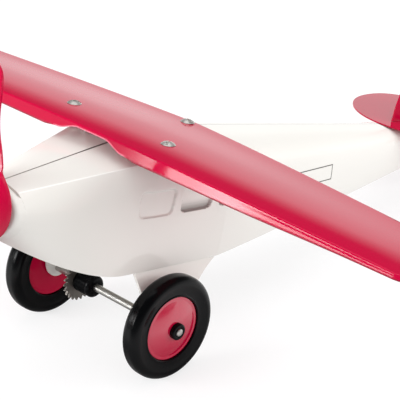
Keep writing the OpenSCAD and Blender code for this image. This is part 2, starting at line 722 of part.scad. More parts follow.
module fin_rivet(x, s) {
    top = fin_z + tail_t;
    low = roof_z(x, fin_rivet_y) - wall - 1.5;
    color(red) stance() translate([x, s * fin_rivet_y, 0]) {
        translate([0, 0, top + lap]) round_head(rivet_head_d, 1.8);
        translate([0, 0, low]) cylinder(d = rivet_d, h = top - low + 0.5);
    }
}
module fin_rivet_a() {
    fin_rivet(fin_rivet_front, 1);
}
module fin_rivet_b() {
    fin_rivet(fin_rivet_rear, -1);
}

// Tail wheel in a folded bracket, held by a rivet across both shells
fork_in = tail_wheel_w / 2 + 0.5;
fork_out = fork_in + bracket_t;
fork_top = mix(tail_edge_z, deck_z, 0.7);
fork_front = max(tail_wheel_x + 12, cross_rivet_x + rivet_head_d);
fork_rear = min(cross_rivet_x, tail_wheel_x) - 5;
module fork_plate() {
    polygon([[fork_rear, fork_top], [fork_front, fork_top],
        [tail_wheel_x + 5, tail_wheel_z], [tail_wheel_x + 3.5, tail_wheel_z - 4],
        [tail_wheel_x - 3.5, tail_wheel_z - 4], [tail_wheel_x - 5, tail_wheel_z]]);
}
module tail_bracket() {
    color(steel) stance() difference() {
        union() {
            for (y = [-fork_in, fork_out]) translate([0, y, 0]) rotate([90, 0, 0])
                linear_extrude(bracket_t) fork_plate();
            translate([fork_rear, -fork_out, fork_top - bracket_t])
                cube([fork_front - fork_rear, 2 * fork_out, bracket_t]);
        }
        translate([tail_wheel_x, -20, tail_wheel_z]) rotate([-90, 0, 0])
            cylinder(d = tail_pin_d + 2 * set_fit, h = 40);
        translate([cross_rivet_x, -20, cross_rivet_z]) rotate([-90, 0, 0])
            cylinder(d = rivet_d + 2 * set_fit, h = 40);
    }
}
module cross_pin(x, z, d, half, head_d, head_h) {
    color(steel) stance() translate([x, 0, z]) rotate([-90, 0, 0]) {
        translate([0, 0, -half]) cylinder(d = d, h = 2 * half);
        translate([0, 0, half - lap]) round_head(head_d, head_h);
        rotate([180, 0, 0]) translate([0, 0, half - lap]) round_head(head_d, head_h);
    }
}
module tail_pin() {
    cross_pin(tail_wheel_x, tail_wheel_z, tail_pin_d, fork_out + seat, tail_pin_d + 2.4, 1.4);
}
module tail_rivet() {
    cross_pin(cross_rivet_x, cross_rivet_z, rivet_d,
        side_y(cross_rivet_x + rivet_head_d / 2, cross_rivet_z) + seat, rivet_head_d, 1.6);
}
module tail_wheel() {
    r = tail_wheel_r;
    w = tail_wheel_w / 2;
    color(black) stance() translate([tail_wheel_x, 0, tail_wheel_z]) rotate([-90, 0, 0])
        rotate_extrude() difference() {
            polygon([[tail_pin_d / 2 + run_fit, -w], [r - 5, -w], [r - 2, -w + 0.6],
                [r - 0.5, -w + 2], [r, -w + 3.2], [r, w - 3.2], [r - 0.5, w - 2],
                [r - 2, w - 0.6], [r - 5, w], [tail_pin_d / 2 + run_fit, w]]);
            for (s = [-1, 1]) translate([r - 5.5, s * w]) circle(r = 0.5, $fn = 24);
        }
}

module axle() {
    color(steel) stance() on_axle(-axle_end) cylinder(r = axle_r, h = 2 * axle_end);
}

// Tyre profile: flat tread, round shoulder, dished flank and a seat for each disc
shoulder = 5.4;
function tyre_half() = let (w = tyre_w / 2, lip = disc_d / 2 + 0.3, root = disc_rim - disc_t - seat / 2)
    concat(
        [[disc_d / 2 - 3.4, root], [lip, root], [lip, disc_rim + 0.9],
            [lip + 1, disc_rim + 1.3], [mix(lip, wheel_r - shoulder, 0.55), w - 0.5]],
        [for (a = [0:15:90]) [wheel_r - shoulder + shoulder * sin(a), w - shoulder + shoulder * cos(a)]]);
module tyre(s) {
    half = tyre_half();
    color(black) stance() each_side(s) on_axle(wheel_y) rotate_extrude($fn = 96)
        polygon(concat(half, [for (i = [len(half) - 1:-1:0]) [half[i][0], -half[i][1]]]));
}
module left_tyre() {
    tyre(1);
}
module right_tyre() {
    tyre(-1);
}

// Wheel disc: flat rim, then a shallow cone that swells to the hub
module disc_profile(bulge) {
    r = disc_d / 2;
    hub = cap_d / 2 - 1;
    function face(t) = disc_rim + bulge * (1 - pow(1 - t, 1.6));
    polygon(concat(
        [for (i = [0:8]) [mix(r - 3, hub, i / 8), face(i / 8)]],
        [[axle_r + set_fit, disc_rim + bulge], [axle_r + set_fit, disc_rim + bulge - disc_t]],
        [for (i = [8:-1:0]) [mix(r - 3, hub, i / 8), face(i / 8) - disc_t]],
        [[r, disc_rim - disc_t], [r, disc_rim - 0.4], [r - 0.5, disc_rim]]));
}
module disc(s, outer) {
    color(red) stance() each_side(s) on_axle(wheel_y) rotate([outer ? 0 : 180, 0, 0])
        rotate_extrude($fn = 96) disc_profile(outer ? disc_swell : disc_back);
}
module left_outer_disc() {
    disc(1, true);
}
module left_inner_disc() {
    disc(1, false);
}
module right_outer_disc() {
    disc(-1, true);
}
module right_inner_disc() {
    disc(-1, false);
}
module hub_cap(s) {
    r = cap_d / 2;
    color(black) stance() each_side(s) on_axle(cap_y) rotate_extrude()
        polygon([[axle_r + set_fit, 0], [r, 0], [r, cap_t - 1.2], [r - 0.4, cap_t - 0.5],
            [r - 1.2, cap_t], [axle_r + set_fit, cap_t]]);
}
module left_hub_cap() {
    hub_cap(1);
}
module right_hub_cap() {
    hub_cap(-1);
}
module washer(s) {
    color(steel) stance() each_side(s) on_axle(pad_out + seat) difference() {
        cylinder(d = washer_d, h = washer_t);
        translate([0, 0, -1]) cylinder(r = axle_r + set_fit, h = washer_t + 2);
    }
}
module left_washer() {
    washer(1);
}
module right_washer() {
    washer(-1);
}

// Click gear with saw-shaped teeth, and the grooved sleeve beside it
module click_gear() {
    r = gear_d / 2;
    step = 360 / gear_n;
    color(steel) stance() on_axle(gear_y - gear_t / 2) linear_extrude(gear_t) difference() {
        polygon([for (i = [0:gear_n - 1]) each [
            (r - gear_tooth) * [cos(i * step), sin(i * step)],
            r * [cos((i + 0.55) * step), sin((i + 0.55) * step)],
            r * [cos((i + 0.68) * step), sin((i + 0.68) * step)]]]);
        circle(r = axle_r + set_fit);
    }
}
module axle_sleeve() {
    r = drum_d / 2;
    pitch = drum_l * 0.5 / drum_grooves;
    color(black) stance() on_axle(drum_y) rotate_extrude() difference() {
        polygon([[axle_r + set_fit, 0], [r, 0], [r, drum_l - 2.2], [r - 0.6, drum_l - 0.8],
            [r - 2.2, drum_l], [axle_r + set_fit, drum_l]]);
        for (i = [0:drum_grooves - 1]) translate([r, drum_l * 0.25 + i * pitch])
            circle(r = drum_groove, $fn = 24);
    }
}

// Click reed: a spring strip on a foot that seats on the right leg's tab
reed_x = -30;
reed_z = leg_fold_z + 6;
reed_foot_y = leg_tab_out - leg_t - seat;
reed_tip = [-gear_d * 0.12, gear_d / 2 + reed_gap];
reed_run = [reed_tip[0] - reed_x, reed_tip[1] + reed_t - reed_z];
reed_rivet_z = reed_z + 3.6;
module reed_hole() {
    translate([reed_x, reed_foot_y - 10, reed_rivet_z]) rotate([-90, 0, 0])
        cylinder(d = rivet_d + 2 * set_fit, h = 20);
}
module click_reed() {
    color(steel) stance() mirror([0, 1, 0]) difference() {
        union() {
            translate([reed_x - reed_w / 2, reed_foot_y - 1, reed_z - reed_t])
                cube([reed_w, 1, 8]);
            translate([reed_x - reed_w / 2, -gear_y - reed_w / 2, reed_z - reed_t])
                cube([reed_w, reed_foot_y + gear_y + reed_w / 2, reed_t]);
            translate([reed_x, -gear_y - reed_w / 2, reed_z - reed_t])
                rotate([0, -atan2(reed_run[1], reed_run[0]), 0])
                cube([norm(reed_run), reed_w, reed_t]);
        }
        reed_hole();
    }
}
// Rivet that holds the reed's foot to the leg's tab
module reed_rivet() {
    color(steel) stance() mirror([0, 1, 0]) translate([reed_x, 0, reed_rivet_z]) rotate([-90, 0, 0]) {
        translate([0, 0, reed_foot_y - 1.5]) cylinder(d = rivet_d, h = leg_tab_out - reed_foot_y + 1.5);
        translate([0, 0, reed_foot_y - 1 - lap]) rotate([180, 0, 0]) round_head(rivet_head_d, 1.6);
    }
}

// Propeller: one pressing, a dome with two pitched blades, on a boss
module prop_profile() {
    cr = (dome_r * dome_r + dome_h * dome_h) / (2 * dome_h);
    bore = prop_pin_d / 2 + run_fit;
    function arc(r, d) = dome_h - cr + sqrt(pow(cr - d, 2) - r * r);
    inner = [for (i = [0:10]) mix(bore + 2.5, dome_r - prop_t, i / 10)];
    outer = [for (i = [12:-1:0]) mix(bore, dome_r, i / 12)];
    polygon(concat([[bore, -prop_back + seat], [bore + 2.5, -prop_back + seat]],
        [for (r = inner) [r, max(-0.6, arc(r, prop_t))]],
        [[dome_r - prop_t, -0.6], [dome_r, -0.6]],
        [for (r = outer) [r, arc(r, 0)]]));
}
module blade() {
    rotate([0, 0, blade_pitch]) translate([0, prop_t / 2, 0]) rotate([90, 0, 0])
        linear_extrude(prop_t) polygon(concat(
            blade_side(1), [for (i = [len(blade_side(-1)) - 2:-1:0]) blade_side(-1)[i]]));
}
module propeller() {
    color(red) stance() translate([prop_x, 0, prop_z]) rotate([0, 90, 0]) {
        difference() {
            union() {
                rotate_extrude($fn = 96) prop_profile();
                for (a = [0, 180])
                    rotate([0, 0, a + prop_turn]) rotate([0, -90, 0]) rotate([0, 0, 90]) blade();
            }
            translate([0, 0, -prop_back - 1])
                cylinder(d = prop_pin_d + 2 * run_fit, h = prop_back + dome_h + 2);
        }
    }
}
module prop_pin() {
    back = prop_back + wall;
    color(steel) stance() translate([prop_x, 0, prop_z]) rotate([0, 90, 0]) {
        translate([0, 0, -back - 1]) cylinder(d = prop_pin_d, h = back + dome_h + 2);
        translate([0, 0, dome_h + seat]) round_head(prop_head_d, 3);
        translate([0, 0, -back - seat / 2]) rotate([180, 0, 0]) round_head(prop_head_d, 2);
    }
}

fuselage_left();
fuselage_right();
nose_cap();
left_leg();
right_leg();
wing();
wing_saddle();
wing_screw_left();
wing_screw_right();
wing_screw_rear();
wing_nut_left();
wing_nut_right();
wing_nut_rear();
stabiliser();
fin();
fin_rivet_a();
fin_rivet_b();
tail_bracket();
tail_pin();
tail_rivet();
tail_wheel();
axle();
left_tyre();
right_tyre();
left_outer_disc();
left_inner_disc();
right_outer_disc();
right_inner_disc();
left_hub_cap();
right_hub_cap();
left_washer();
right_washer();
click_gear();
axle_sleeve();
click_reed();
reed_rivet();
propeller();
prop_pin();
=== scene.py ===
# %% [markdown]
# # A pressed-steel toy monoplane
# This lesson dresses a floor toy from the pressed-steel age: a cream body folded from
# two shells, a crimson wing bolted on top, black rubber tyres on red discs, and a bare
# steel axle with a click gear. The solids that carry and move come in as a fixed frame.
# We load that frame first and keep its box, because nothing that we add may outgrow it.

# %% Load the frame
import json
import math
import bpy
import bmesh
from mathutils import Matrix, Vector


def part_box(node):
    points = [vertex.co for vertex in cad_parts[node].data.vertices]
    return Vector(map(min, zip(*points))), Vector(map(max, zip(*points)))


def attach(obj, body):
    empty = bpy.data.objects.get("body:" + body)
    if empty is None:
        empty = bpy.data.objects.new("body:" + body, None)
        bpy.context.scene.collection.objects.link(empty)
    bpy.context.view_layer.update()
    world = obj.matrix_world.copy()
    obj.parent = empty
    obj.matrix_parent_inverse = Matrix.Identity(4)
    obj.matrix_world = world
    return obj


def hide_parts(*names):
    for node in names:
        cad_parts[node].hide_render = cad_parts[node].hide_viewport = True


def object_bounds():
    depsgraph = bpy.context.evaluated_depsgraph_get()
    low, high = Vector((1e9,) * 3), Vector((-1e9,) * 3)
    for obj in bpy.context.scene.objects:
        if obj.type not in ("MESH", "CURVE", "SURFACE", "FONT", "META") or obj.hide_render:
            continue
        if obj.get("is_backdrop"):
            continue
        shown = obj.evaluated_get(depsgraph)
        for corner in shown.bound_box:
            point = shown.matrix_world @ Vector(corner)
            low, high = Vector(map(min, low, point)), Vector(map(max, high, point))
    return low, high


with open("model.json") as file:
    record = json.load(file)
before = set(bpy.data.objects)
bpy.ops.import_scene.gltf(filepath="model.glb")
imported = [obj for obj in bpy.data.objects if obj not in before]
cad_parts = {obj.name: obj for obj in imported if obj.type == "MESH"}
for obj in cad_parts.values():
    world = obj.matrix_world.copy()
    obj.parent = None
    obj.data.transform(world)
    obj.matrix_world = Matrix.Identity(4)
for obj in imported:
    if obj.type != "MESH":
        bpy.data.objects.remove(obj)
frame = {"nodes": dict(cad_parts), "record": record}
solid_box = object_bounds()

print("box of the solids:", [tuple(round(v, 4) for v in p) for p in solid_box])

# %% [markdown]
# ## One frame for every sheet
# The toy sits back on its tail wheel, so its body axis is tipped 12 degrees. It is much
# easier to draw the sheets along the body's own axes, in millimetres, with the main axle
# at zero, and to tip each finished point. The axle's place is read from the frame.

# %% From body millimetres to scene metres
STANCE = math.radians(12)
low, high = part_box("axle")
AXLE = (low + high) / 2


def stand(u, y, w):
    """A point of the body, in mm from the axle, as a point of the scene in metres."""
    return Vector((
        AXLE.x + 0.001 * (u * math.cos(STANCE) - w * math.sin(STANCE)),
        AXLE.y + 0.001 * y,
        AXLE.z + 0.001 * (u * math.sin(STANCE) + w * math.cos(STANCE)),
    ))


def lie(point):
    """The way back: a point of the scene as body mm."""
    x, z = 1000 * (point.x - AXLE.x), 1000 * (point.z - AXLE.z)
    return (x * math.cos(STANCE) + z * math.sin(STANCE), 1000 * (point.y - AXLE.y),
            z * math.cos(STANCE) - x * math.sin(STANCE))


print("main axle at", tuple(round(v, 4) for v in AXLE))

# %% [markdown]
# ## Small number tools
# A pressing is a smooth change from one section to the next. Three helpers say nearly all
# of it: mix goes between two values, clamp keeps a share between 0 and 1, and ease starts
# and stops gently.

# %% Mix, clamp and ease
def mix(a, b, t):
    return a + (b - a) * t


def clamp(t):
    return max(0.0, min(1.0, t))


def ease(t):
    c = clamp(t)
    return c * c * (3 - 2 * c)


def spread(a, b, n):
    """n + 1 even values from a to b."""
    return [mix(a, b, i / n) for i in range(n + 1)]


print("ease at a quarter:", ease(0.25))

# %% [markdown]
# ## Finishes first
# Stove enamel on steel is glossy, but it is never perfectly flat: it has a faint orange
# peel, a slow drift of tone, and fine dust that dulls the gloss in specks. Several paints
# share those faults, so they live in one node group with named sockets. A group gives
# only colours and values: the shader itself stays in each material.

# %% A helper that starts a node group
def start_group(name, inputs, outputs):
    """New shader group; inputs are (name, type, default) and outputs (name, type)."""
    group = bpy.data.node_groups.new(name, "ShaderNodeTree")
    for label, kind, value in inputs:
        socket = group.interface.new_socket(label, in_out="INPUT", socket_type=kind)
        socket.default_value = value
    for label, kind in outputs:
        group.interface.new_socket(label, in_out="OUTPUT", socket_type=kind)
    enter = group.nodes.new("NodeGroupInput")
    leave = group.nodes.new("NodeGroupOutput")
    return group, enter, leave


FLOAT, COLOUR = "NodeSocketFloat", "NodeSocketColor"
print("kinds of sockets:", FLOAT, COLOUR)

# %% Helpers that place noise, sums, ranges and mixes
def add_noise(tree, scale, detail=3.0):
    noise = tree.nodes.new("ShaderNodeTexNoise")
    noise.inputs["Scale"].default_value = scale
    noise.inputs["Detail"].default_value = detail
    return noise


def add_math(tree, operation, a, b=None):
    """A Math node; a and b are sockets or numbers."""
    node = tree.nodes.new("ShaderNodeMath")
    node.operation = operation
    for socket, value in zip(node.inputs, (a, b)):
        if value is None:
            continue
        if isinstance(value, bpy.types.NodeSocket):
            tree.links.new(value, socket)
        else:
            socket.default_value = value
    return node.outputs[0]


def add_range(tree, value, low_in, high_in, low_out, high_out):
    """A Map Range node on a socket; the four limits are numbers or sockets."""
    node = tree.nodes.new("ShaderNodeMapRange")
    tree.links.new(value, node.inputs["Value"])
    limits = {"From Min": low_in, "From Max": high_in, "To Min": low_out, "To Max": high_out}
    for label, limit in limits.items():
        if isinstance(limit, bpy.types.NodeSocket):
            tree.links.new(limit, node.inputs[label])
        else:
            node.inputs[label].default_value = limit
    return node.outputs[0]


def add_mix(tree, share, a, b):
    """A colour mix; share, a and b are sockets or values."""
    node = tree.nodes.new("ShaderNodeMix")
    node.data_type = "RGBA"
    for socket, value in ((node.inputs[0], share), (node.inputs[6], a), (node.inputs[7], b)):
        if isinstance(value, bpy.types.NodeSocket):
            tree.links.new(value, socket)
        else:
            socket.default_value = value
    return node.outputs[2]


print("node helpers ready")

# %% The enamel's faults, as one group
def make_enamel_group():
    group, enter, leave = start_group(
        "enamel_faults",
        [("Paint", COLOUR, (0.8, 0.8, 0.8, 1)), ("Shade", COLOUR, (0.7, 0.7, 0.7, 1)),
         ("Drift", FLOAT, 0.5), ("Gloss Roughness", FLOAT, 0.12), ("Speck", FLOAT, 0.2)],
        [("Colour", COLOUR), ("Roughness", FLOAT), ("Peel", FLOAT)])
    place = group.nodes.new("ShaderNodeTexCoord").outputs["Object"]
    slow, peel, speck = add_noise(group, 9, 2), add_noise(group, 420, 1.5), add_noise(group, 900, 4)
    for noise in (slow, peel, speck):
        group.links.new(place, noise.inputs["Vector"])
    drift = add_range(group, slow.outputs[0], 0.35, 0.7, 0.0, enter.outputs["Drift"])
    colour = add_mix(group, drift, enter.outputs["Paint"], enter.outputs["Shade"])
    dust = add_range(group, speck.outputs[0], 0.62, 0.74, 0.0, enter.outputs["Speck"])
    rough = add_math(group, "ADD", enter.outputs["Gloss Roughness"], dust)
    smear = add_range(group, slow.outputs[0], 0.3, 0.75, 0.0, 0.03)
    group.links.new(colour, leave.inputs["Colour"])
    group.links.new(add_math(group, "ADD", rough, smear), leave.inputs["Roughness"])
    group.links.new(peel.outputs[0], leave.inputs["Peel"])
    return group


enamel_faults = make_enamel_group()
print("group:", enamel_faults.name, [s.name for s in enamel_faults.interface.items_tree])

# %% [markdown]
# ## Wear and painted highlight along the folds
# Paint thins where a sheet is folded and where fingers rub it. Cycles can report how
# convex a surface is at each point, which is a cheap way to find those folds. The group
# turns that into a broken mask, so that the wear doesn't run as an even stripe. With a
# pale tone, the same mask also paints a highlight along the folds.

# %% The fold wear and painted fold highlight, as one group
def make_wear_and_highlight_group():
    group, enter, leave = start_group(
        "fold_wear_and_highlight_group",
        [("Start", FLOAT, 0.54), ("Full", FLOAT, 0.6), ("Amount", FLOAT, 0.5)],
        [("Mask", FLOAT)])
    place = group.nodes.new("ShaderNodeTexCoord").outputs["Object"]
    shape = group.nodes.new("ShaderNodeNewGeometry").outputs["Pointiness"]
    ragged = add_noise(group, 160, 4)
    group.links.new(place, ragged.inputs["Vector"])
    fold = add_range(group, shape, enter.outputs["Start"], enter.outputs["Full"], 0.0, 1.0)
    broken = add_range(group, ragged.outputs[0], 0.42, 0.62, 0.0, 1.0)
    # The mask marks fold wear and also a painted highlight on convex folds.
    mask = add_math(group, "MULTIPLY", fold, broken)
    mask = add_math(group, "MULTIPLY", mask, enter.outputs["Amount"])
    group.links.new(mask, leave.inputs["Mask"])
    return group


fold_wear_and_highlight_group = make_wear_and_highlight_group()
print("group:", fold_wear_and_highlight_group.name)

# %% [markdown]
# ## Grain for rubber and steel
# Moulded rubber has a fine skin and holds pale dust. Drawn steel has hair lines along the
# pull. Both are noise that is stretched or not, so one group with a stretch serves both.

# %% The fine grain, as one group
def make_grain_group():
    group, enter, leave = start_group(
        "fine_grain",
        [("Ground", COLOUR, (0.5, 0.5, 0.5, 1)), ("Dust", COLOUR, (0.6, 0.6, 0.6, 1)),
         ("Dustiness", FLOAT, 0.2), ("Low Roughness", FLOAT, 0.3), ("High Roughness", FLOAT, 0.5),
         ("Grain Size", FLOAT, 500.0), ("Stretch", FLOAT, 1.0)],
        [("Colour", COLOUR), ("Roughness", FLOAT), ("Grain", FLOAT)])
    place = group.nodes.new("ShaderNodeTexCoord").outputs["Object"]
    scale = group.nodes.new("ShaderNodeCombineXYZ")
    scale.inputs["X"].default_value = 1
    scale.inputs["Z"].default_value = 1
    group.links.new(enter.outputs["Stretch"], scale.inputs["Y"])
    pulled = group.nodes.new("ShaderNodeVectorMath")
    pulled.operation = "MULTIPLY"
    group.links.new(place, pulled.inputs[0])
    group.links.new(scale.outputs[0], pulled.inputs[1])
    grain, cloud = add_noise(group, 500, 3), add_noise(group, 40, 4)
    group.links.new(pulled.outputs[0], grain.inputs["Vector"])
    group.links.new(enter.outputs["Grain Size"], grain.inputs["Scale"])
    group.links.new(place, cloud.inputs["Vector"])
    dust = add_range(group, cloud.outputs[0], 0.45, 0.75, 0.0, enter.outputs["Dustiness"])
    group.links.new(add_mix(group, dust, enter.outputs["Ground"], enter.outputs["Dust"]),
                    leave.inputs["Colour"])
    rough = add_range(group, grain.outputs[0], 0.3, 0.7,
                      enter.outputs["Low Roughness"], enter.outputs["High Roughness"])
    group.links.new(rough, leave.inputs["Roughness"])
    group.links.new(grain.outputs[0], leave.inputs["Grain"])
    return group


fine_grain = make_grain_group()
print("group:", fine_grain.name)

# %% [markdown]
# ## The paints
# Each paint is one Principled shader. The enamel group feeds its colour and roughness, and
# its peel goes through a weak Bump. Worn folds show a paler, duller tone, not bare metal,
# because stove enamel is thick and only the top of the gloss goes; that pale tone on the
# folds is also a painted highlight. Painted light is where a piece says so: its mesh may
# carry a share of painted shade at each point, in a dark tone that also dulls the gloss,
# or below zero a share of painted highlight in the pale tone, where a fold or hem should
# look bright. Legs and tail have no fold wear or fold highlight, because their solids have
# too few points to tell folds from flats. The wheel discs shine more than the wing does, so
# they have a crimson of their own.

# %% Helpers for every material
def start_material(name):
    """A material with one Principled shader; gives back its tree and that shader."""
    material = bpy.data.materials.new(name)
    material.use_nodes = True
    tree = material.node_tree
    return material, tree, tree.nodes["Principled BSDF"]


def place_group(tree, group, **values):
    """Places a group; underscores in a name stand for spaces."""
    node = tree.nodes.new("ShaderNodeGroup")
    node.node_tree = group
    for label, value in values.items():
        node.inputs[label.replace("_", " ")].default_value = value
    return node


def add_bump(tree, shader, height, strength, distance):
    bump = tree.nodes.new("ShaderNodeBump")
    bump.inputs["Strength"].default_value = strength
    bump.inputs["Distance"].default_value = distance
    tree.links.new(height, bump.inputs["Height"])
    tree.links.new(bump.outputs[0], shader.inputs["Normal"])


print("material helpers ready")

# %% Materials for the enamels
def make_enamel(name, tones, gloss, wear_and_highlight, ior):
    """An enamel from four tones: fresh paint, its drift, a pale tone for worn folds and painted highlight,
    and a dark tone for painted shade.
    """
    paint, shade, wear_and_highlight_tone, painted_shade_tone = tones
    material, tree, shader = start_material(name)
    skin = place_group(tree, enamel_faults, Paint=paint, Shade=shade, Drift=0.6,
                       Gloss_Roughness=gloss, Speck=0.1)
    worn_and_lit_folds = place_group(tree, fold_wear_and_highlight_group, Start=0.53, Full=0.6, Amount=wear_and_highlight)
    # Fold wear, partly painted highlight: convex folds mix in the pale tone.
    colour = add_mix(tree, worn_and_lit_folds.outputs["Mask"], skin.outputs["Colour"], wear_and_highlight_tone)
    # Painted light from the mesh: above zero painted shade in the dark tone, which also dulls the gloss;
    # below zero painted highlight in the pale tone.
    painted_light_read = tree.nodes.new("ShaderNodeAttribute")
    painted_light_read.attribute_name = "painted_light"
    painted_highlight = add_math(tree, "MAXIMUM", add_math(tree, "MULTIPLY", painted_light_read.outputs["Fac"], -1.0), 0.0)
    painted_shade_share = add_math(tree, "MAXIMUM", painted_light_read.outputs["Fac"], 0.0)
    colour = add_mix(tree, painted_shade_share, add_mix(tree, painted_highlight, colour, wear_and_highlight_tone), painted_shade_tone)
    tree.links.new(colour, shader.inputs["Base Color"])
    dulled = add_math(tree, "MULTIPLY", painted_shade_share, 0.5)
    rough = add_math(tree, "ADD", skin.outputs["Roughness"], dulled)
    tree.links.new(rough, shader.inputs["Roughness"])
    add_bump(tree, shader, skin.outputs["Peel"], 0.05, 0.0002)
    shader.inputs["IOR"].default_value = ior
    return material


# Tones: fresh paint, its random drift, a pale tone for worn folds and painted highlight, and a dark tone
# for painted shade.
CREAM = ((0.83, 0.81, 0.77, 1), (0.80, 0.78, 0.735, 1), (0.97, 0.96, 0.94, 1), (0.13, 0.11, 0.10, 1))
CRIMSON = ((0.50, 0.002, 0.040, 1), (0.47, 0.002, 0.036, 1), (0.72, 0.20, 0.27, 1), (0.16, 0.004, 0.014, 1))
cream_enamel = make_enamel("cream_enamel", CREAM, gloss=0.08, wear_and_highlight=0.2, ior=1.5)
leg_enamel = make_enamel("leg_enamel", CREAM, gloss=0.1, wear_and_highlight=0.0, ior=1.5)
red_enamel = make_enamel("red_enamel", CRIMSON, gloss=0.09, wear_and_highlight=0.12, ior=1.35)
tail_enamel = make_enamel("tail_enamel", CRIMSON, gloss=0.09, wear_and_highlight=0.0, ior=1.35)
disc_enamel = make_enamel("disc_enamel", CRIMSON, gloss=0.07, wear_and_highlight=0.12, ior=1.85)
print("paints:", cream_enamel.name, leg_enamel.name, red_enamel.name, tail_enamel.name, disc_enamel.name)

# %% [markdown]
# ## Rubber, black trim and steel
# The tyres are moulded black rubber with a satin skin. The hub caps and the sleeve on the
# axle are duller black. The axle is drawn bar, the screws are plated and the gear is a grey
# casting, so they share one grain group with different values.

# %% Materials for rubber, trim and steel
def make_grained(name, ground, dust, dustiness, rough, size, stretch, metallic, bump, shine=0.5):
    """A plain finish from the grain group; rough is its lowest and highest roughness."""
    material, tree, shader = start_material(name)
    shader.inputs["Specular IOR Level"].default_value = shine
    skin = place_group(tree, fine_grain, Ground=ground, Dust=dust, Dustiness=dustiness,
                       Low_Roughness=rough[0], High_Roughness=rough[1],
                       Grain_Size=size, Stretch=stretch)
    tree.links.new(skin.outputs["Colour"], shader.inputs["Base Color"])
    tree.links.new(skin.outputs["Roughness"], shader.inputs["Roughness"])
    shader.inputs["Metallic"].default_value = metallic
    add_bump(tree, shader, skin.outputs["Grain"], bump, 0.0002)
    return material


tyre_rubber = make_grained(
    "tyre_rubber", (0.002, 0.0022, 0.0026, 1), (0.006, 0.006, 0.006, 1), dustiness=0.3,
    rough=(0.16, 0.26), size=500, stretch=1, metallic=0, bump=0.02, shine=0.14)
black_trim = make_grained(
    "black_trim", (0.003, 0.003, 0.0035, 1), (0.01, 0.01, 0.01, 1), dustiness=0.3,
    rough=(0.16, 0.3), size=700, stretch=1, metallic=0, bump=0.04, shine=0.1)
drawn_steel = make_grained(
    "drawn_steel", (0.53, 0.52, 0.495, 1), (0.42, 0.41, 0.385, 1), dustiness=0.4,
    rough=(0.34, 0.46), size=900, stretch=0.03, metallic=1, bump=0.05)
plated_steel = make_grained(
    "plated_steel", (0.88, 0.86, 0.82, 1), (0.66, 0.63, 0.58, 1), dustiness=0.3,
    rough=(0.4, 0.55), size=800, stretch=1, metallic=1, bump=0.05)
cast_gear = make_grained(
    "cast_gear", (0.36, 0.34, 0.31, 1), (0.22, 0.20, 0.18, 1), dustiness=0.6,
    rough=(0.38, 0.6), size=600, stretch=1, metallic=1, bump=0.25)
print("plain finishes:", tyre_rubber.name, drawn_steel.name, plated_steel.name, cast_gear.name)

# %% [markdown]
# ## Making a piece
# Every sheet here is a grid of points that a formula gives. A sheet needs two skins, an
# outer and an inner one, closed by a rim: a single skin would look like paper at its edge.
# Round pieces are a profile turned about a line. Both helpers only collect points and
# faces, and one last helper makes the object, rides it on its body and names its finish.

# %% Sheets and turned pieces
def sheet(outer, inner):
    """Points and faces of a closed sheet between two grids of the same size."""
    rows, columns = len(outer), len(outer[0])
    points = [p for row in outer for p in row] + [p for row in inner for p in row]
    skin = rows * columns
    faces = []
    for i in range(rows - 1):
        for j in range(columns - 1):
            a = i * columns + j
            quad = (a, a + 1, a + columns + 1, a + columns)
            faces += [quad, tuple(skin + k for k in reversed(quad))]
    rim = list(range(columns))
    rim += [i * columns + columns - 1 for i in range(1, rows)]
    rim += [(rows - 1) * columns + j for j in range(columns - 2, -1, -1)]
    rim += [i * columns for i in range(rows - 2, 0, -1)]
    faces += [(b, a, skin + a, skin + b) for a, b in zip(rim, rim[1:] + rim[:1])]
    return points, faces


def turned(profile, place, steps=128):
    """A closed profile of (radius, height) turned about a line; place puts (a, b, height)."""
    n = len(profile)
    points, faces = [], []
    for i in range(steps):
        c, s = math.cos(2 * math.pi * i / steps), math.sin(2 * math.pi * i / steps)
        points += [place(r * c, r * s, h) for r, h in profile]
        k = (i + 1) % steps
        faces += [(i * n + j, i * n + (j + 1) % n, k * n + (j + 1) % n, k * n + j) for j in range(n)]
    return points, faces


print("sheets and turned pieces can be drawn")

# %% From a drawing to an object
def make_piece(name, drawing, finish, body, stands_for=(), sharp=32, painted_shade_share=None):
    """Makes one piece; painted_shade_share gives the share of painted shade at a point, or of painted
    highlight below zero.
    """
    points, faces = drawing
    mesh = bpy.data.meshes.new(name)
    mesh.from_pydata([stand(*p) for p in points], [], faces)
    work = bmesh.new()
    work.from_mesh(mesh)
    bmesh.ops.remove_doubles(work, verts=work.verts, dist=2e-6)
    bmesh.ops.dissolve_degenerate(work, edges=work.edges, dist=1e-6)
    bmesh.ops.recalc_face_normals(work, faces=work.faces)
    if painted_shade_share:
        # Each point keeps its share of painted light: painted shade above zero, painted highlight below.
        painted_light = work.verts.layers.float.new("painted_light")
        for vert in work.verts:
            vert[painted_light] = painted_shade_share(*lie(vert.co))
    work.to_mesh(mesh)
    work.free()
    mesh.shade_smooth()
    mesh.set_sharp_from_angle(angle=math.radians(sharp))
    mesh.materials.append(finish)
    piece = bpy.data.objects.new(name, mesh)
    bpy.context.scene.collection.objects.link(piece)
    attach(piece, body)
    if stands_for:
        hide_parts(*stands_for)
    print(f"{name}: {len(mesh.vertices)} points, {len(mesh.polygons)} faces")


print("drawings can become objects")

# %% [markdown]
# ## The lines of the body
# A presswork draughtsman draws a body as a few long lines: the lower edge, the crease at
# the shoulder, and the ridge. At the bonnet the crease is a hard fold. Behind the wing it
# fades, and side and roof become one round back. The lines follow those of the solids
# within 2 mm, so the dressed shells lie where the frame's shells are.

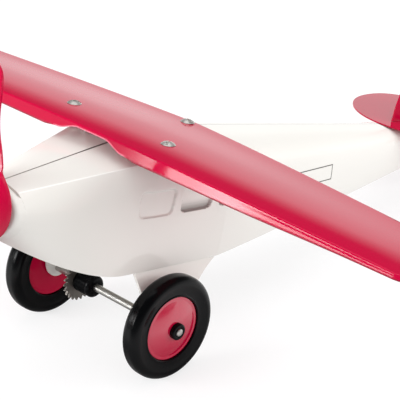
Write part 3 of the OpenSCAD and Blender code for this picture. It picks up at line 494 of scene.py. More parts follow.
# %% Body lines, in mm along the body
NOSE, SCREEN, CABIN, TAIL = 110.0, 36.0, -60.0, -385.0
WALL = 1.2
ROOF, CREASE_FADE = SCREEN - 14, 62.0
EDGE_Z, EDGE_Z_NOSE, EDGE_Z_TAIL, EDGE_RISE_X = 36.0, 59.2, 75.5, 34.0
EDGE_Y, EDGE_Y_NOSE, EDGE_Y_TAIL, EDGE_CLOSE_X = 45.0, 6.0, 9.0, 24.0
BONNET_FRONT_Z, BONNET_BACK_Z, RIDGE_Z = 99.4, 112.5, 120.4
BONNET_RISE = (BONNET_BACK_Z - BONNET_FRONT_Z) / (NOSE - SCREEN)
RIDGE_FALL, DECK_X, DECK_Z, DECK_STEP = 0.0991, -284.0, 97.0, 0.5


def to_nose(x, start):
    return clamp((x - start) / (NOSE - start))


def to_tail(x):
    return clamp((CABIN - x) / (CABIN - TAIL))


def aft(x):
    return ease((ROOF - x) / CREASE_FADE)


def bonnet(x):
    return (NOSE - x) / (NOSE - SCREEN)


def edge_z(x):
    if x > CABIN:
        return mix(EDGE_Z, EDGE_Z_NOSE, to_nose(x, EDGE_RISE_X) ** 1.7)
    return mix(EDGE_Z, EDGE_Z_TAIL, to_tail(x) ** 1.1)


def edge_y(x):
    if x > CABIN:
        return mix(EDGE_Y, EDGE_Y_NOSE, to_nose(x, EDGE_CLOSE_X) ** 2.2)
    return mix(EDGE_Y, EDGE_Y_TAIL, to_tail(x) ** 1.05)


def top_z(x):
    if x > ROOF:
        return mix(BONNET_FRONT_Z, BONNET_BACK_Z, bonnet(x))
    if x <= CABIN:
        ridge = max(DECK_Z, RIDGE_Z - RIDGE_FALL * (CABIN - x))
        return mix(DECK_Z, ridge, clamp((x - DECK_X) / DECK_STEP))
    run = ROOF - CABIN
    t = (ROOF - x) / run
    start = mix(BONNET_FRONT_Z, BONNET_BACK_Z, bonnet(ROOF))
    return (start * (1 + 2 * t) * (1 - t) ** 2 + BONNET_RISE * run * t * (1 - t) ** 2
            + RIDGE_Z * t * t * (3 - 2 * t) + RIDGE_FALL * run * t * t * (1 - t))


print("ridge at the cabin's end:", round(top_z(CABIN), 2), "mm above the axle")

# %% Crease, swell and roof
CREASE_NOSE, CREASE_SCREEN = (17.8, 96.8), (36.9, 110.5)
CREASE_MOST_Y, CREASE_UNDER = 43.5, 0.8
BACK_CABIN, BACK_TAIL = 0.75, 0.62
SWELL, SWELL_NOSE, SWELL_TAIL = 2.0, 15.0, 0.6
SEAM_NOSE, SEAM_WING, SEAM_BACK = 0.9, 1.5, 0.3


def crease_y(x):
    hard = min(mix(CREASE_NOSE[0], CREASE_SCREEN[0], bonnet(x)), CREASE_MOST_Y)
    return mix(hard, edge_y(x), aft(x))


def crease_z(x):
    hard = min(mix(CREASE_NOSE[1], CREASE_SCREEN[1], bonnet(x)), top_z(x) - CREASE_UNDER)
    faded = mix(edge_z(x), top_z(x), mix(BACK_CABIN, BACK_TAIL, to_tail(x)))
    return mix(hard, faded, aft(x))


def swell(x):
    if x > SCREEN:
        return mix(SWELL, SWELL_NOSE, to_nose(x, SCREEN) ** 1.5)
    return mix(SWELL, SWELL_TAIL, to_tail(x))


def half_gap(x):
    """Half of the seam's width, which opens towards the wing and closes behind it."""
    front = mix(SEAM_NOSE, SEAM_WING, ease((SCREEN + 16 - x) / 24))
    return mix(front, SEAM_BACK, aft(x)) / 2


def side_y(x, z):
    s = clamp((z - edge_z(x)) / (crease_z(x) - edge_z(x)))
    return mix(edge_y(x), crease_y(x), s) + swell(x) * (1 - abs(2 * s - 1) ** 2.5)


def roof_z(x, y):
    across = min(1, abs(y) / crease_y(x)) ** 2
    return crease_z(x) + (top_z(x) - crease_z(x)) * (1 - across) ** (1 / mix(1, 2, aft(x)))


print("crease at the screen:", round(crease_y(SCREEN), 1), round(crease_z(SCREEN), 1))

# %% [markdown]
# ## Pressed windows
# The cabin windows are not cut out. A punch pushes them 1 to 2 mm into the sheet, so each has
# rounded corners, a short ramp all round and a faint raised bead outside it. A signed
# distance to a rounded four-sided outline gives the depth at any point, and both posts of a
# window lean back. The same distance also says where shade is painted into the enamel: a
# dark tone low in each recess, fading upwards, and in its rear corner, more so on the rear
# windows. The seam's gap gets painted shade too, and the crease a painted highlight.

# %% Depth of the window pressing, with painted shade and highlight
WINDOW_X, WINDOW_LONG, WINDOW_STEP = 24.5, 29.5, 37.5
WINDOW_Z, WINDOW_TOP = 75.5, 94.0
WINDOW_DEEP, WINDOW_RAMP, WINDOW_CORNER = (1.1, 2.0, 2.0), 0.8, 4.0
POST_LEAN, POST_RAKE = 1.6, 3.2
BEAD_H, BEAD_W = 0.22, 2.4
FOLD, LIP = 0.6, 0.25
# Painted shade in the recesses: for each window its darkest share and the height over which it fades, then
# the rear post's share.
LEDGE_SHADE, POST_SHADE = ((0.3, 0.9), (0.75, 9.0), (0.9, 10.0)), 0.15


def window_reach(i, x, z):
    """Distance inside window i's outline, and the share of its length towards the rear."""
    up = clamp((z - WINDOW_Z) / (WINDOW_TOP - WINDOW_Z))
    front = WINDOW_X - WINDOW_STEP * i - POST_LEAN * up
    rear = WINDOW_X - WINDOW_STEP * i - WINDOW_LONG - POST_RAKE * up
    out_x = abs(x - (front + rear) / 2) - (front - rear) / 2 + WINDOW_CORNER
    out_z = abs(z - (WINDOW_Z + WINDOW_TOP) / 2) - (WINDOW_TOP - WINDOW_Z) / 2 + WINDOW_CORNER
    outside = math.hypot(max(out_x, 0), max(out_z, 0)) + min(max(out_x, out_z), 0)
    return WINDOW_CORNER - outside, clamp((front - x) / (front - rear))


def window_depth(x, z):
    inside, deep = max((window_reach(i, x, z)[0], deep) for i, deep in enumerate(WINDOW_DEEP))
    bead = BEAD_H * math.sin(math.pi * clamp(-inside / BEAD_W))
    return deep * ease(inside / WINDOW_RAMP) - bead


def window_painted_light(x, y, z):
    """Painted shade in the seam and low in the window recesses, and painted highlight along the crease."""
    # Painted shade in the seam's gap, lighter towards the nose.
    if abs(y) < half_gap(x) + 0.05:
        return mix(1.0, 0.6, to_nose(x, SCREEN))
    # Painted highlight along the crease's fold, in the pale tone, fading where the crease fades.
    if math.hypot(abs(y) - crease_y(x), z - crease_z(x)) < FOLD / 2:
        return aft(x) - 1.0
    painted_light = 0.0
    # Painted shade low in each window recess and along its rear post.
    for i, (most, rise) in enumerate(LEDGE_SHADE):
        inside, rearward = window_reach(i, x, z)
        if inside > 0:
            ledge = most * (1 - ease((z - WINDOW_Z) / rise))
            post = POST_SHADE * (1 - ease(inside / 1.6)) * ease((rearward - 0.8) / 0.15)
            painted_light = max(painted_light, ledge, post)
    return painted_light


print("depth in the middle of a window:", window_depth(10, 85))

# %% [markdown]
# ## The two body shells
# Each shell is one deep drawing from the lower edge to the centre seam. Its rows are packed
# closely where something happens: at the window ramps and at the crease, whose fold is
# rounded over half a millimetre so that it catches a thin bright line, as folded sheet does.

# %% Sections of a shell
SKIRT_ROWS = (0, 0.02, 0.08, 0.16, 0.26, 0.38, 0.5, 0.62, 0.74, 0.86, 0.95)
SHOULDER_ROWS = (0.15, 0.3, 0.45, 0.6, 0.75, 0.88)


def near_cabin(x):
    return min(ease((SCREEN + 40 - x) / 36), ease((x - CABIN + 120) / 90))


def side_heights(x):
    e, c = edge_z(x), crease_z(x)
    low_line = mix(mix(e, c, 0.42), WINDOW_Z - 1, near_cabin(x))
    high_line = mix(mix(e, c, 0.72), WINDOW_TOP + 1, near_cabin(x))
    return ([mix(e, low_line, s) for s in SKIRT_ROWS] + spread(low_line, high_line, 40)
            + [mix(high_line, c, s) for s in SHOULDER_ROWS])


def shell_section(x):
    """Points (y, z) from the lower edge to the seam, before the windows are pressed."""
    c_y, c_z, gap = crease_y(x), crease_z(x), half_gap(x)
    side = [(side_y(x, z), z) for z in side_heights(x)]
    below = (side_y(x, c_z - FOLD), c_z - FOLD)
    above_y = c_y - FOLD
    above = (above_y, roof_z(x, above_y))
    fold = (mix((below[0] + above[0]) / 2, c_y, 0.55), mix((below[1] + above[1]) / 2, c_z, 0.55))
    roof = [max(gap, above_y * math.cos(math.pi / 2 * i / 26)) for i in range(1, 27)]
    roof.insert(-1, gap + LIP)
    return side + [below, fold, above] + [(y, roof_z(x, y)) for y in roof]


def inward(line, d):
    """The line moved d towards the inside of the body."""
    moved = []
    for i, (y, z) in enumerate(line):
        if i == 0:
            moved.append((y - d, z))
        elif i == len(line) - 1:
            moved.append((y, z - d))
        else:
            a, b = line[i - 1], line[i + 1]
            t_y, t_z = b[0] - a[0], b[1] - a[1]
            size = math.hypot(t_y, t_z) or 1
            moved.append((y - d * t_z / size, z + d * t_y / size))
    return moved


print("points in a section:", len(shell_section(0)))

# %% Draw both shells
stations = (spread(NOSE, 30, 44)[:-1] + spread(30, -88, 118)[:-1] + spread(-88, DECK_X + DECK_STEP, 40)
            + spread(DECK_X, TAIL, 20))


def draw_shell(side):
    outer, inner = [], []
    for x in stations:
        line = shell_section(x)
        press = [window_depth(x, z) for y, z in line]
        outer.append([(x, side * (y - d), z) for (y, z), d in zip(line, press)])
        inner.append([(x, side * (max(y - d, 0.02)), z) for (y, z), d in zip(inward(line, WALL), press)])
    return sheet(outer, inner)


for word, side in (("left", 1), ("right", -1)):
    make_piece(f"body_shell_{word}", draw_shell(side), cream_enamel, "airframe",
               [f"fuselage_{word}"], painted_shade_share=window_painted_light)

# %% [markdown]
# ## The nose cap
# The front of the body is closed by a shallow cap whose neck slips inside the shells. It is
# drawn from the shells' first section and its taper: a neck, then rings that shrink towards
# the front, then the flat face that carries the propeller's pin. At the sides cap and shells
# meet in a hairline. Above the crease the bonnet's edge stands off, so the cap starts later
# there and the neck shows as a grey crescent that ends in a notch.

# %% Draw the nose cap
CAP_BACK, CAP_FRONT, CAP_CORNER, CAP_MIDDLE, CAP_FADE = NOSE + 0.01, NOSE + 6.75, 3.0, 80.0, 9.0
NECK_X, CAP_OPENING = NOSE - 4, 2.7
cap_half = shell_section(NOSE)[::2]
cap_before = shell_section(NOSE - 2)[::2]
cap_taper = [((a - c) / 2, (b - d) / 2) for (a, b), (c, d) in zip(cap_half, cap_before)]


def cap_edge(y, z):
    """Where the cap's edge starts, later above the crease and at the notch below it."""
    open_roof = ease((z - crease_z(NOSE) + 2.6) / 0.8)
    return CAP_BACK + CAP_OPENING * open_roof * mix(0.35, 1.0, min(1, abs(y) / crease_y(NOSE)) ** 1.5)


def cap_ring(pull, x=None, share=0.0):
    """The nose outline drawn in by pull, at x or at a share of the way from edge to front."""
    half = []
    for (y, z), (in_y, in_z) in zip(cap_half, cap_taper):
        place = x if x is not None else mix(cap_edge(y, z), CAP_FRONT - CAP_CORNER, share)
        run = clamp((place - NOSE) / CAP_FADE)
        run = CAP_FADE * run * (1 - run / 2)
        y, z = max(0.4, y + run * in_y), z + run * in_z
        size = math.hypot(y, z - CAP_MIDDLE)
        half.append((place, y * (1 - pull / size), CAP_MIDDLE + (z - CAP_MIDDLE) * (1 - pull / size)))
    return half + [(x, -y, z) for x, y, z in reversed(half)]


def draw_nose_cap():
    corner = [(CAP_FRONT - CAP_CORNER + CAP_CORNER * math.sin(a), CAP_CORNER * (1 - math.cos(a)))
              for a in (math.pi / 2 * i / 6 for i in range(7))]
    rings = [cap_ring(2.4, NECK_X), cap_ring(1.5, NECK_X), cap_ring(1.4, share=0.0),
             cap_ring(0, share=0.0), cap_ring(0, share=0.12)]
    rings += [cap_ring(pull, x) for x, pull in corner]
    n = len(rings[0])
    points = [p for ring in rings for p in ring]
    faces = [(i * n + j, i * n + (j + 1) % n, (i + 1) * n + (j + 1) % n, (i + 1) * n + j)
             for i in range(len(rings) - 1) for j in range(n)]
    for base, x in (((len(rings) - 1) * n, CAP_FRONT), (0, NECK_X)):
        points.append((x, 0, CAP_MIDDLE))
        faces += [(base + j, base + (j + 1) % n, len(points) - 1) for j in range(n)]
    return points, faces


make_piece("nose_front", draw_nose_cap(), cream_enamel, "airframe", ["nose_cap"])

# %% [markdown]
# ## The wing
# The wing is one sheet: a shallow camber, a flange folded down along the front with a
# cut-out over the bonnet, and a shorter flange behind. It is drawn as a chord line at each
# place along the span. The fold at the front is a small arc of 1.6 mm radius, because a
# bright line along that fold is what makes a wing read as pressed steel. Towards the tips the
# rear edge is rolled, and the front flange bows a little where nothing backs it.

# %% Wing lines
HALF_SPAN, TIP_LONG, LEAD_LONG, WING_T = 285.0, 62.0, 22.3, 1.0
WING_LEAD, WING_TRAIL, TIP_X, BEND = 36.0, -65.5, -4.0, 60.0
TRAIL_SWEEP, LEAD_Z, LEAD_DROP, TRAIL_Z, CAMBER = 24.0, 126.1, 4.6, 121.5, 3.7
FLANGE_Z, FLANGE_DROP, FLANGE_EXTRA = 118.8, 0.7, 1.4
ARCH_RISE, ARCH_TOP, ARCH_RAMP = 4.8, 13.2, 19.8
REAR_Z_BODY, REAR_Z = 120.2, 117.3


def tip_share(y, long=TIP_LONG):
    k = clamp((abs(y) - HALF_SPAN + long) / long)
    return math.sqrt(max(0, 1 - k * k))


def lead_x(y):
    return mix(TIP_X, WING_LEAD, tip_share(y, LEAD_LONG))


def trail_x(y):
    k = clamp(abs(y) / (HALF_SPAN - TIP_LONG))
    return mix(TIP_X, WING_TRAIL + TRAIL_SWEEP * k ** 1.25, tip_share(y))


def outward(y):
    """Share of the half span, rounded off at the middle so that the wing bends without a kink."""
    return (math.hypot(y, BEND) - BEND) / (math.hypot(HALF_SPAN, BEND) - BEND)


def lead_z(y):
    return LEAD_Z - LEAD_DROP * outward(y)


def wing_top(x, y):
    front, rear = lead_x(y), trail_x(y)
    c = clamp((front - x) / max(front - rear, 1e-6))
    camber = CAMBER * tip_share(y) * (1 - 0.4 * outward(y))
    return mix(lead_z(y), TRAIL_Z, c) + camber * 6.75 * c * (1 - c) ** 2


def front_flange_z(y):
    arch_end = ARCH_TOP + ARCH_RAMP
    deeper = FLANGE_EXTRA * ease((abs(y) - arch_end) / 14) * (1 - ease((abs(y) - 130) / 110))
    arch = ARCH_RISE * (1 - ease((abs(y) - ARCH_TOP) / ARCH_RAMP))
    return FLANGE_Z - FLANGE_DROP * abs(y) / HALF_SPAN - deeper + arch


def rear_flange_z(y):
    return mix(REAR_Z_BODY, REAR_Z, ease((abs(y) - 42) / 8))


print("wing top over the front screws:", round(wing_top(10, 47.7), 2))

# %% Chord lines of the wing
FOLD_R, ROLL_R, FLANGE_BOW, FLANGE_LEAN = 1.6, 3.2, 0.2, 0.25


def chord_line(y, d):
    """Points (x, z) over the wing at y, d below the outer skin."""
    share = tip_share(y)
    front, rear = lead_x(y) - d, trail_x(y) + d
    r = min(FOLD_R * share, (front - rear) / 4) + 1e-4
    roll = r + ROLL_R * ease((abs(y) - HALF_SPAN + TIP_LONG + 8) / 20) * share * (1 - d / 4)
    z_front, z_rear = wing_top(front - r, y) - d, wing_top(rear + roll, y) - d
    low = min(front_flange_z(y), z_front - r)
    tail = min(rear_flange_z(y), z_rear - roll - 0.1)
    lean = FLANGE_LEAN * share * max(0, z_front - r - low)
    bow = FLANGE_BOW * share * ease((abs(y) - 110) / 60)
    line = [(front + lean * (1 - t) + bow * math.sin(math.pi * t), mix(low, z_front - r, t))
            for t in spread(0, 0.9, 9)]
    line += [(front - r + r * math.cos(a), z_front - r + r * math.sin(a))
             for a in (math.pi / 2 * i / 5 for i in range(6))]
    across = [mix(front - r, rear + roll, (i / 36) ** 1.1) for i in range(1, 36)]
    line += [(x, wing_top(x, y) - d) for x in across]
    line += [(rear + roll - roll * math.sin(a), z_rear - roll + roll * math.cos(a))
             for a in (math.pi / 2 * i / 6 for i in range(7))]
    return line + [(rear, tail)]


def wing_places():
    rounded = [HALF_SPAN - TIP_LONG * (1 - math.sin(math.pi / 2 * i / 22)) for i in range(23)]
    half = spread(0, 50, 50)[:-1] + spread(50, HALF_SPAN - TIP_LONG, 44)[:-1]
    half += rounded[:-1] + [HALF_SPAN - 0.02]
    return [-y for y in reversed(half[1:])] + half


print("chord lines:", len(wing_places()), "of", len(chord_line(0, 0)), "points")

# %% Draw the wing
def draw_wing():
    outer = [[(x, y, z) for x, z in chord_line(y, 0)] for y in wing_places()]
    inner = [[(x, y, z) for x, z in chord_line(y, WING_T)] for y in wing_places()]
    return sheet(outer, inner)


def wing_painted_light(x, y, z):
    """Painted shade low on the front flange and at the rear edge's ends, painted highlight on the hem along
    the arch.
    """
    # Painted shade along the rear edge towards the tips.
    if x < trail_x(y) + 2.5 and abs(y) < HALF_SPAN - 3:
        return 0.5 * ease((abs(y) - 185) / 20)
    if x < lead_x(y) - 1.2 or abs(y) > HALF_SPAN - 3:
        return 0.0
    # Painted shade in a low band on the front flange; over the arch the band turns to painted highlight on
    # the hem.
    low_band = 1 - ease((z - front_flange_z(y) - 0.55) / 0.5)
    return low_band * mix(-1, 0.7, ease((abs(y) - ARCH_TOP - ARCH_RAMP) / 8))


make_piece("main_wing", draw_wing(), red_enamel, "airframe", ["wing"],
           sharp=40, painted_shade_share=wing_painted_light)

# %% [markdown]
# ## Slotted screws
# Three round-headed screws hold the wing. A head is a height field on a disc: the dome's
# height, but the slot's floor where a point lies within the slot. Two rows at each wall of
# the slot keep that wall upright. The shank below is a short turned pin.

# %% Draw the screws
HEAD_R, HEAD_H, SLOT_HALF, SLOT_DEEP, SHANK_R, SHANK_END = 5.2, 2.1, 0.8, 1.6, 2.4, 1.9
DOME_R = (HEAD_R ** 2 + HEAD_H ** 2) / (2 * HEAD_H)


def head_height(a, b):
    return max(0.0, HEAD_H - DOME_R + math.sqrt(max(0, DOME_R ** 2 - a * a - b * b)))


def draw_screw(x, y, z, turn, long):
    """A head with its slot on a plain shank that reaches long below the seat."""
    cut = SLOT_HALF + 0.04
    rows = [(HEAD_R * math.cos(math.pi * i / 28), False) for i in range(29)]
    rows = [r for r in rows if abs(r[0]) > cut + 0.05]
    rows += [(cut, False), (SLOT_HALF, True), (0, True), (-SLOT_HALF, True), (-cut, False)]
    rows.sort(reverse=True)
    dome, seat = [], []
    for b, in_slot in rows:
        half = math.sqrt(max(0, HEAD_R ** 2 - b * b))
        line = [half * math.sin(math.pi / 2 * t) for t in spread(-1, 1, 24)]
        floor = HEAD_H - SLOT_DEEP
        for skin, flat in ((dome, False), (seat, True)):
            heights = [0 if flat else min(head_height(a, b), floor if in_slot else HEAD_H) for a in line]
            skin.append([(x + a * math.cos(turn) - b * math.sin(turn),
                          y + a * math.sin(turn) + b * math.cos(turn), z + h)
                         for a, h in zip(line, heights)])
    points, faces = sheet(dome, seat)
    shank = [(0.02, -long), (SHANK_END, -long), (SHANK_R, -long + 0.5), (SHANK_R, 0.4), (0.02, 0.4)]
    more, sides = turned(shank, lambda a, b, h: (x + a, y + b, z + h), 32)
    return points + more, faces + [tuple(k + len(points) for k in face) for face in sides]


def head_seat(x, y):
    """Height at which a head clears the wing all round its rim."""
    return 0.05 + max(wing_top(x + i * HEAD_R, y + j * HEAD_R) for i in (-1, 0, 1) for j in (-1, 0, 1))


SCREWS = {"wing_screw_left": (10, 47.7, 0.5), "wing_screw_right": (10, -47.7, 2.5),
          "wing_screw_rear": (-57, 0, 1.2)}
HEAD_SHARE = 4.5  # what a solid screw's height holds besides its shank
for node, (x, y, turn) in SCREWS.items():
    low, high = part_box(node)
    drawing = draw_screw(x, y, head_seat(x, y), turn, 1000 * (high.z - low.z) - HEAD_SHARE)
    make_piece(node + "_slotted", drawing, plated_steel, "airframe", [node], sharp=28)

# %% [markdown]
# ## Tyres
# A toy tyre is a solid rubber ring with a flat tread, round shoulders, a dished flank and a
# thin bead against the disc. Turned profiles are ideal: the profile is written once, as the
# half from the disc's seat to the middle of the tread, and mirrored.

# %% Draw the tyres
WHEEL_R, TYRE_HALF, SHOULDER, LIP_R, WHEEL_Y = 38.1, 7.15, 5.4, 23.6, 62.9
SEAT_R, SEAT_HALF, FLANK_HALF, FINE_STEPS = 19.9, 3.6, 5.55, 160


def tyre_half():
    half = [(SEAT_R, SEAT_HALF), (LIP_R, SEAT_HALF), (LIP_R, 5.3), (LIP_R + 0.15, 5.75),
            (LIP_R + 0.5, 6.0), (LIP_R + 0.95, 6.02), (LIP_R + 1.3, 5.8), (LIP_R + 1.6, FLANK_HALF)]
    dish_end = WHEEL_R - SHOULDER - 0.4
    for i in range(1, 9):
        t = i / 8
        half.append((mix(LIP_R + 1.6, dish_end, t), mix(FLANK_HALF, TYRE_HALF - 0.02, t ** 1.5)))
    half += [(WHEEL_R - SHOULDER + SHOULDER * math.sin(a), TYRE_HALF - SHOULDER + SHOULDER * math.cos(a))
             for a in (math.pi / 2 * i / 14 for i in range(15))]
    half += [(WHEEL_R, 0.5), (WHEEL_R, 0.2)]
    return half


tyre_profile = tyre_half() + [(WHEEL_R, 0.0)] + [(r, -h) for r, h in reversed(tyre_half())]


def on_axle(y0, side):
    """Places a turned piece on the main axle at y0, its outside to the given side."""
    return lambda a, b, h: (a, side * (y0 + h), b)


for word, side in (("left", 1), ("right", -1)):
    make_piece(f"{word}_tyre_ring", turned(tyre_profile, on_axle(WHEEL_Y, side), FINE_STEPS), tyre_rubber,
               "axle_set", [f"{word}_tyre"])

# %% [markdown]
# ## Wheel discs and hub caps
# Each wheel has two pressed discs. The outer one has a flat rim and a shallow cone that
# swells to the hub, where a black cap holds the axle's end. They are turned pieces as well,
# with a small round at the rim that shows as a pale ring.

# %% Draw the discs and the caps
DISC_R, DISC_RIM, DISC_T, HUB_R, BORE_R = 23.3, 4.7, 1.0, 5.0, 2.83
OUTER_BULGE, INNER_BULGE, HUB_CAP_Y = 3.9, 1.0, 71.6


def disc_profile(bulge):
    face = [(mix(DISC_R - 2.6, HUB_R, t), DISC_RIM + bulge * (1 - (1 - t) ** 1.6))
            for t in spread(0, 1, 20)]
    rim = [(DISC_R, DISC_RIM - 0.55), (DISC_R - 0.08, DISC_RIM - 0.25), (DISC_R - 0.3, DISC_RIM - 0.05),
           (DISC_R - 0.6, DISC_RIM), (DISC_R - 1.4, DISC_RIM - 0.05), (DISC_R - 2.2, DISC_RIM - 0.08)]
    front = rim + face + [(BORE_R, DISC_RIM + bulge)]
    back = [(BORE_R, DISC_RIM + bulge - DISC_T)] + [(r, h - DISC_T) for r, h in reversed(face)]
    return front + back + [(DISC_R, DISC_RIM - DISC_T)]


def cap_profile():
    r, t = 6.0, 3.4
    corner = [(r - 1.2 + 1.2 * math.cos(a), t - 1.2 + 1.2 * math.sin(a))
              for a in (math.pi / 2 * i / 6 for i in range(7))]
    return [(BORE_R, 0), (r, 0)] + corner + [(4.0, t), (3.6, t - 0.35), (BORE_R, t - 0.35)]


for word, side in (("left", 1), ("right", -1)):
    outside = disc_profile(OUTER_BULGE)
    make_piece(f"{word}_wheel_face", turned(outside, on_axle(WHEEL_Y, side), FINE_STEPS), disc_enamel,
               "axle_set", [f"{word}_outer_disc"])
    inside = [(r, -h) for r, h in disc_profile(INNER_BULGE)]
    make_piece(f"{word}_wheel_back", turned(inside, on_axle(WHEEL_Y, side), FINE_STEPS), red_enamel,
               "axle_set", [f"{word}_inner_disc"])
    make_piece(f"{word}_hub_button", turned(cap_profile(), on_axle(HUB_CAP_Y, side), 64), black_trim,
               "axle_set", [f"{word}_hub_cap"])

# %% [markdown]
# ## Axle, sleeve and gear
# The axle is drawn bar with its ends rounded a little. The sleeve beside the gear has fine
# ribs for grip. Both are turned; the gear is already right in the frame and only needs its
# finish.

# %% Draw the axle and the sleeve
AXLE_R, AXLE_END, SLEEVE_Y = 2.8, 75.9, -27.1


def axle_profile():
    end = [(0.02, AXLE_END), (1.2, AXLE_END - 0.02), (2.1, AXLE_END - 0.15), (2.6, AXLE_END - 0.45),
           (AXLE_R, AXLE_END - 0.95)]
    stops = [(AXLE_R, y) for y in spread(AXLE_END - 2, 0, 12)[:-1]]
    half = end + stops
    return half + [(r, -y) for r, y in reversed(half)]


def sleeve_profile():
    r, long, ribs = 8.3, 16.0, 9
    line = [(BORE_R, 0), (r - 0.4, 0), (r, 0.4)]
    for i in range(ribs):
        start = 1.2 + i * 1.25
        line += [(r, start), (r - 0.12, start + 0.2), (r - 0.45, start + 0.42),
                 (r - 0.45, start + 0.62), (r - 0.12, start + 0.85), (r, start + 1.05)]
    end = [(r, long - 2.4), (r - 0.25, long - 1.5), (r - 0.9, long - 0.6), (r - 2.2, long)]
    return line + end + [(BORE_R, long)]


make_piece("axle_bar", turned(axle_profile(), on_axle(0, 1), 64), drawn_steel,
           "axle_set", ["axle"])
make_piece("ribbed_sleeve", turned(sleeve_profile(), on_axle(SLEEVE_Y, 1), 96), black_trim,
           "axle_set", ["axle_sleeve"])

# %% [markdown]
# ## The propeller
# The propeller is one pressing: a domed middle and two blades that twist out of it. It is a
# grid along and across the blades. Half the width is the larger of the dome's circle and
# the blade's own outline, joined smoothly, and the pitch fades in outside the dome. It has
# come to rest a few degrees from upright.

# %% Propeller outline and heights
PROP_X, PROP_Z, PROP_R, DOME_EDGE, DOME_H, PROP_T = 121.77, 86.4, 92.0, 25.6, 14.0, 1.4
CROWN_R = (DOME_EDGE ** 2 + DOME_H ** 2) / (2 * DOME_H)
PITCH, PROP_TURN = math.tan(math.radians(16)), math.radians(4.5)
BLADE_HALF, WAIST, WAIST_R, TIP_ROUND = 7.5, 0.88, 58.0, 12.0


def blade_half(s):
    r = max(abs(s), DOME_EDGE)
    if r > WAIST_R:
        return BLADE_HALF * (WAIST + (1 - WAIST) * ease((r - WAIST_R) / 19))
    return BLADE_HALF * (WAIST + 0.92 * ((WAIST_R - r) / (WAIST_R - DOME_EDGE)) ** 2)


def outline_half(s):
    dome = math.sqrt(max(0, DOME_EDGE ** 2 - s * s))
    blade = blade_half(s)
    past = clamp((abs(s) - PROP_R + TIP_ROUND) / TIP_ROUND)
    blade *= math.sqrt(max(0, 1 - past * past))
    if abs(s) > 40:
        return blade
    power = 10
    return (dome ** power + blade ** power) ** (1 / power)


def front_height(s, a):
    r = math.hypot(s, a)
    dome = 0.0
    if r < DOME_EDGE:
        dome = DOME_H - CROWN_R + math.sqrt(CROWN_R ** 2 - r * r)
    twist = ease((abs(s) - 17) / 22)
    return dome + a * PITCH * twist * (1 if s < 0 else -1)


print("blade width at the root:", round(2 * outline_half(30), 1))

# %% Draw the propeller
def draw_propeller():
    tip = PROP_R - TIP_ROUND
    along = spread(0, 30, 30)[:-1] + spread(30, tip, 25)[:-1]
    along += [tip + TIP_ROUND * math.sin(math.pi / 2 * i / 12) for i in range(12)] + [PROP_R - 0.01]
    along = [-s for s in reversed(along[1:])] + along
    front, back = [], []
    for s in along:
        half = outline_half(s)
        row = [half * t for t in spread(-1, 1, 32)]
        for skin, depth in ((front, 0.0), (back, PROP_T)):
            skin.append([(PROP_X + front_height(s, a) - depth,
                          a * math.cos(PROP_TURN) - s * math.sin(PROP_TURN),
                          PROP_Z + a * math.sin(PROP_TURN) + s * math.cos(PROP_TURN)) for a in row])
    return sheet(front, back)


def on_nose(x0):
    return lambda a, b, h: (x0 + h, a, PROP_Z + b)


make_piece("pressed_propeller", draw_propeller(), red_enamel, "propeller_body",
           ["propeller"], sharp=40)
BOSS_BORE, BOSS_R, BOSS_BACK, BOSS_FRONT = 2.58, 5.08, -4.8, 12.0
boss = [(BOSS_BORE, BOSS_BACK), (BOSS_R, BOSS_BACK), (BOSS_R, BOSS_FRONT), (BOSS_BORE, BOSS_FRONT)]
make_piece("propeller_boss", turned(boss, on_nose(PROP_X), 48), red_enamel,
           "propeller_body")

# %% [markdown]
# ## The framed panel on the rear body
# A printed line frames a bare panel behind the wing on the left. It is thinner than paint
# chips, so it is drawn as a ribbon that lies a twentieth of a millimetre proud of the shell.

# %% Draw the panel's frame
frame_ink = make_grained(
    "frame_ink", (0.05, 0.048, 0.04, 1), (0.12, 0.115, 0.1, 1), dustiness=0.5,
    rough=(0.35, 0.5), size=800, stretch=1, metallic=0, bump=0.05)
PANEL = [(-148.0, 73.4), (-191.6, 73.2), (-191.4, 84.6), (-148.0, 85.0)]
LINE_W, LINE_PROUD, LINE_SUNK = 0.75, 0.06, 0.1


def on_shell(x, z, lift):
    return (x, side_y(x, z) + lift, z)


def draw_frame_side(a, b):
    steps = 24
    run = math.hypot(b[0] - a[0], b[1] - a[1])
    n_x, n_z = -(b[1] - a[1]) / run * LINE_W / 2, (b[0] - a[0]) / run * LINE_W / 2
    upper, lower = [], []
    for t in spread(-LINE_W / 2 / run, 1 + LINE_W / 2 / run, steps):
        x, z = mix(a[0], b[0], t), mix(a[1], b[1], t)
        edges = [(x + s * n_x, z + s * n_z) for s in (-1, 0, 1)]
        upper.append([on_shell(p, q, LINE_PROUD) for p, q in edges])
        lower.append([on_shell(p, q, -LINE_SUNK) for p, q in edges])
    return sheet(upper, lower)


for i in range(4):
    make_piece(f"panel_line_{i + 1}", draw_frame_side(PANEL[i], PANEL[(i + 1) % 4]), frame_ink,
               "airframe")

# %% [markdown]
# ## Finishes for what the frame already has right
# Fin, stabiliser, legs, saddle, tail wheel, bracket, washers, nuts, rivets, pins, gear and
# reed keep their solids. They get the finishes above, and a narrow bevel so that their edges
# catch light: no sheet has a mathematically sharp edge. Weighted normals keep the flats flat
# beside the bevels. Both are modifiers, so the frame's own mesh is untouched.

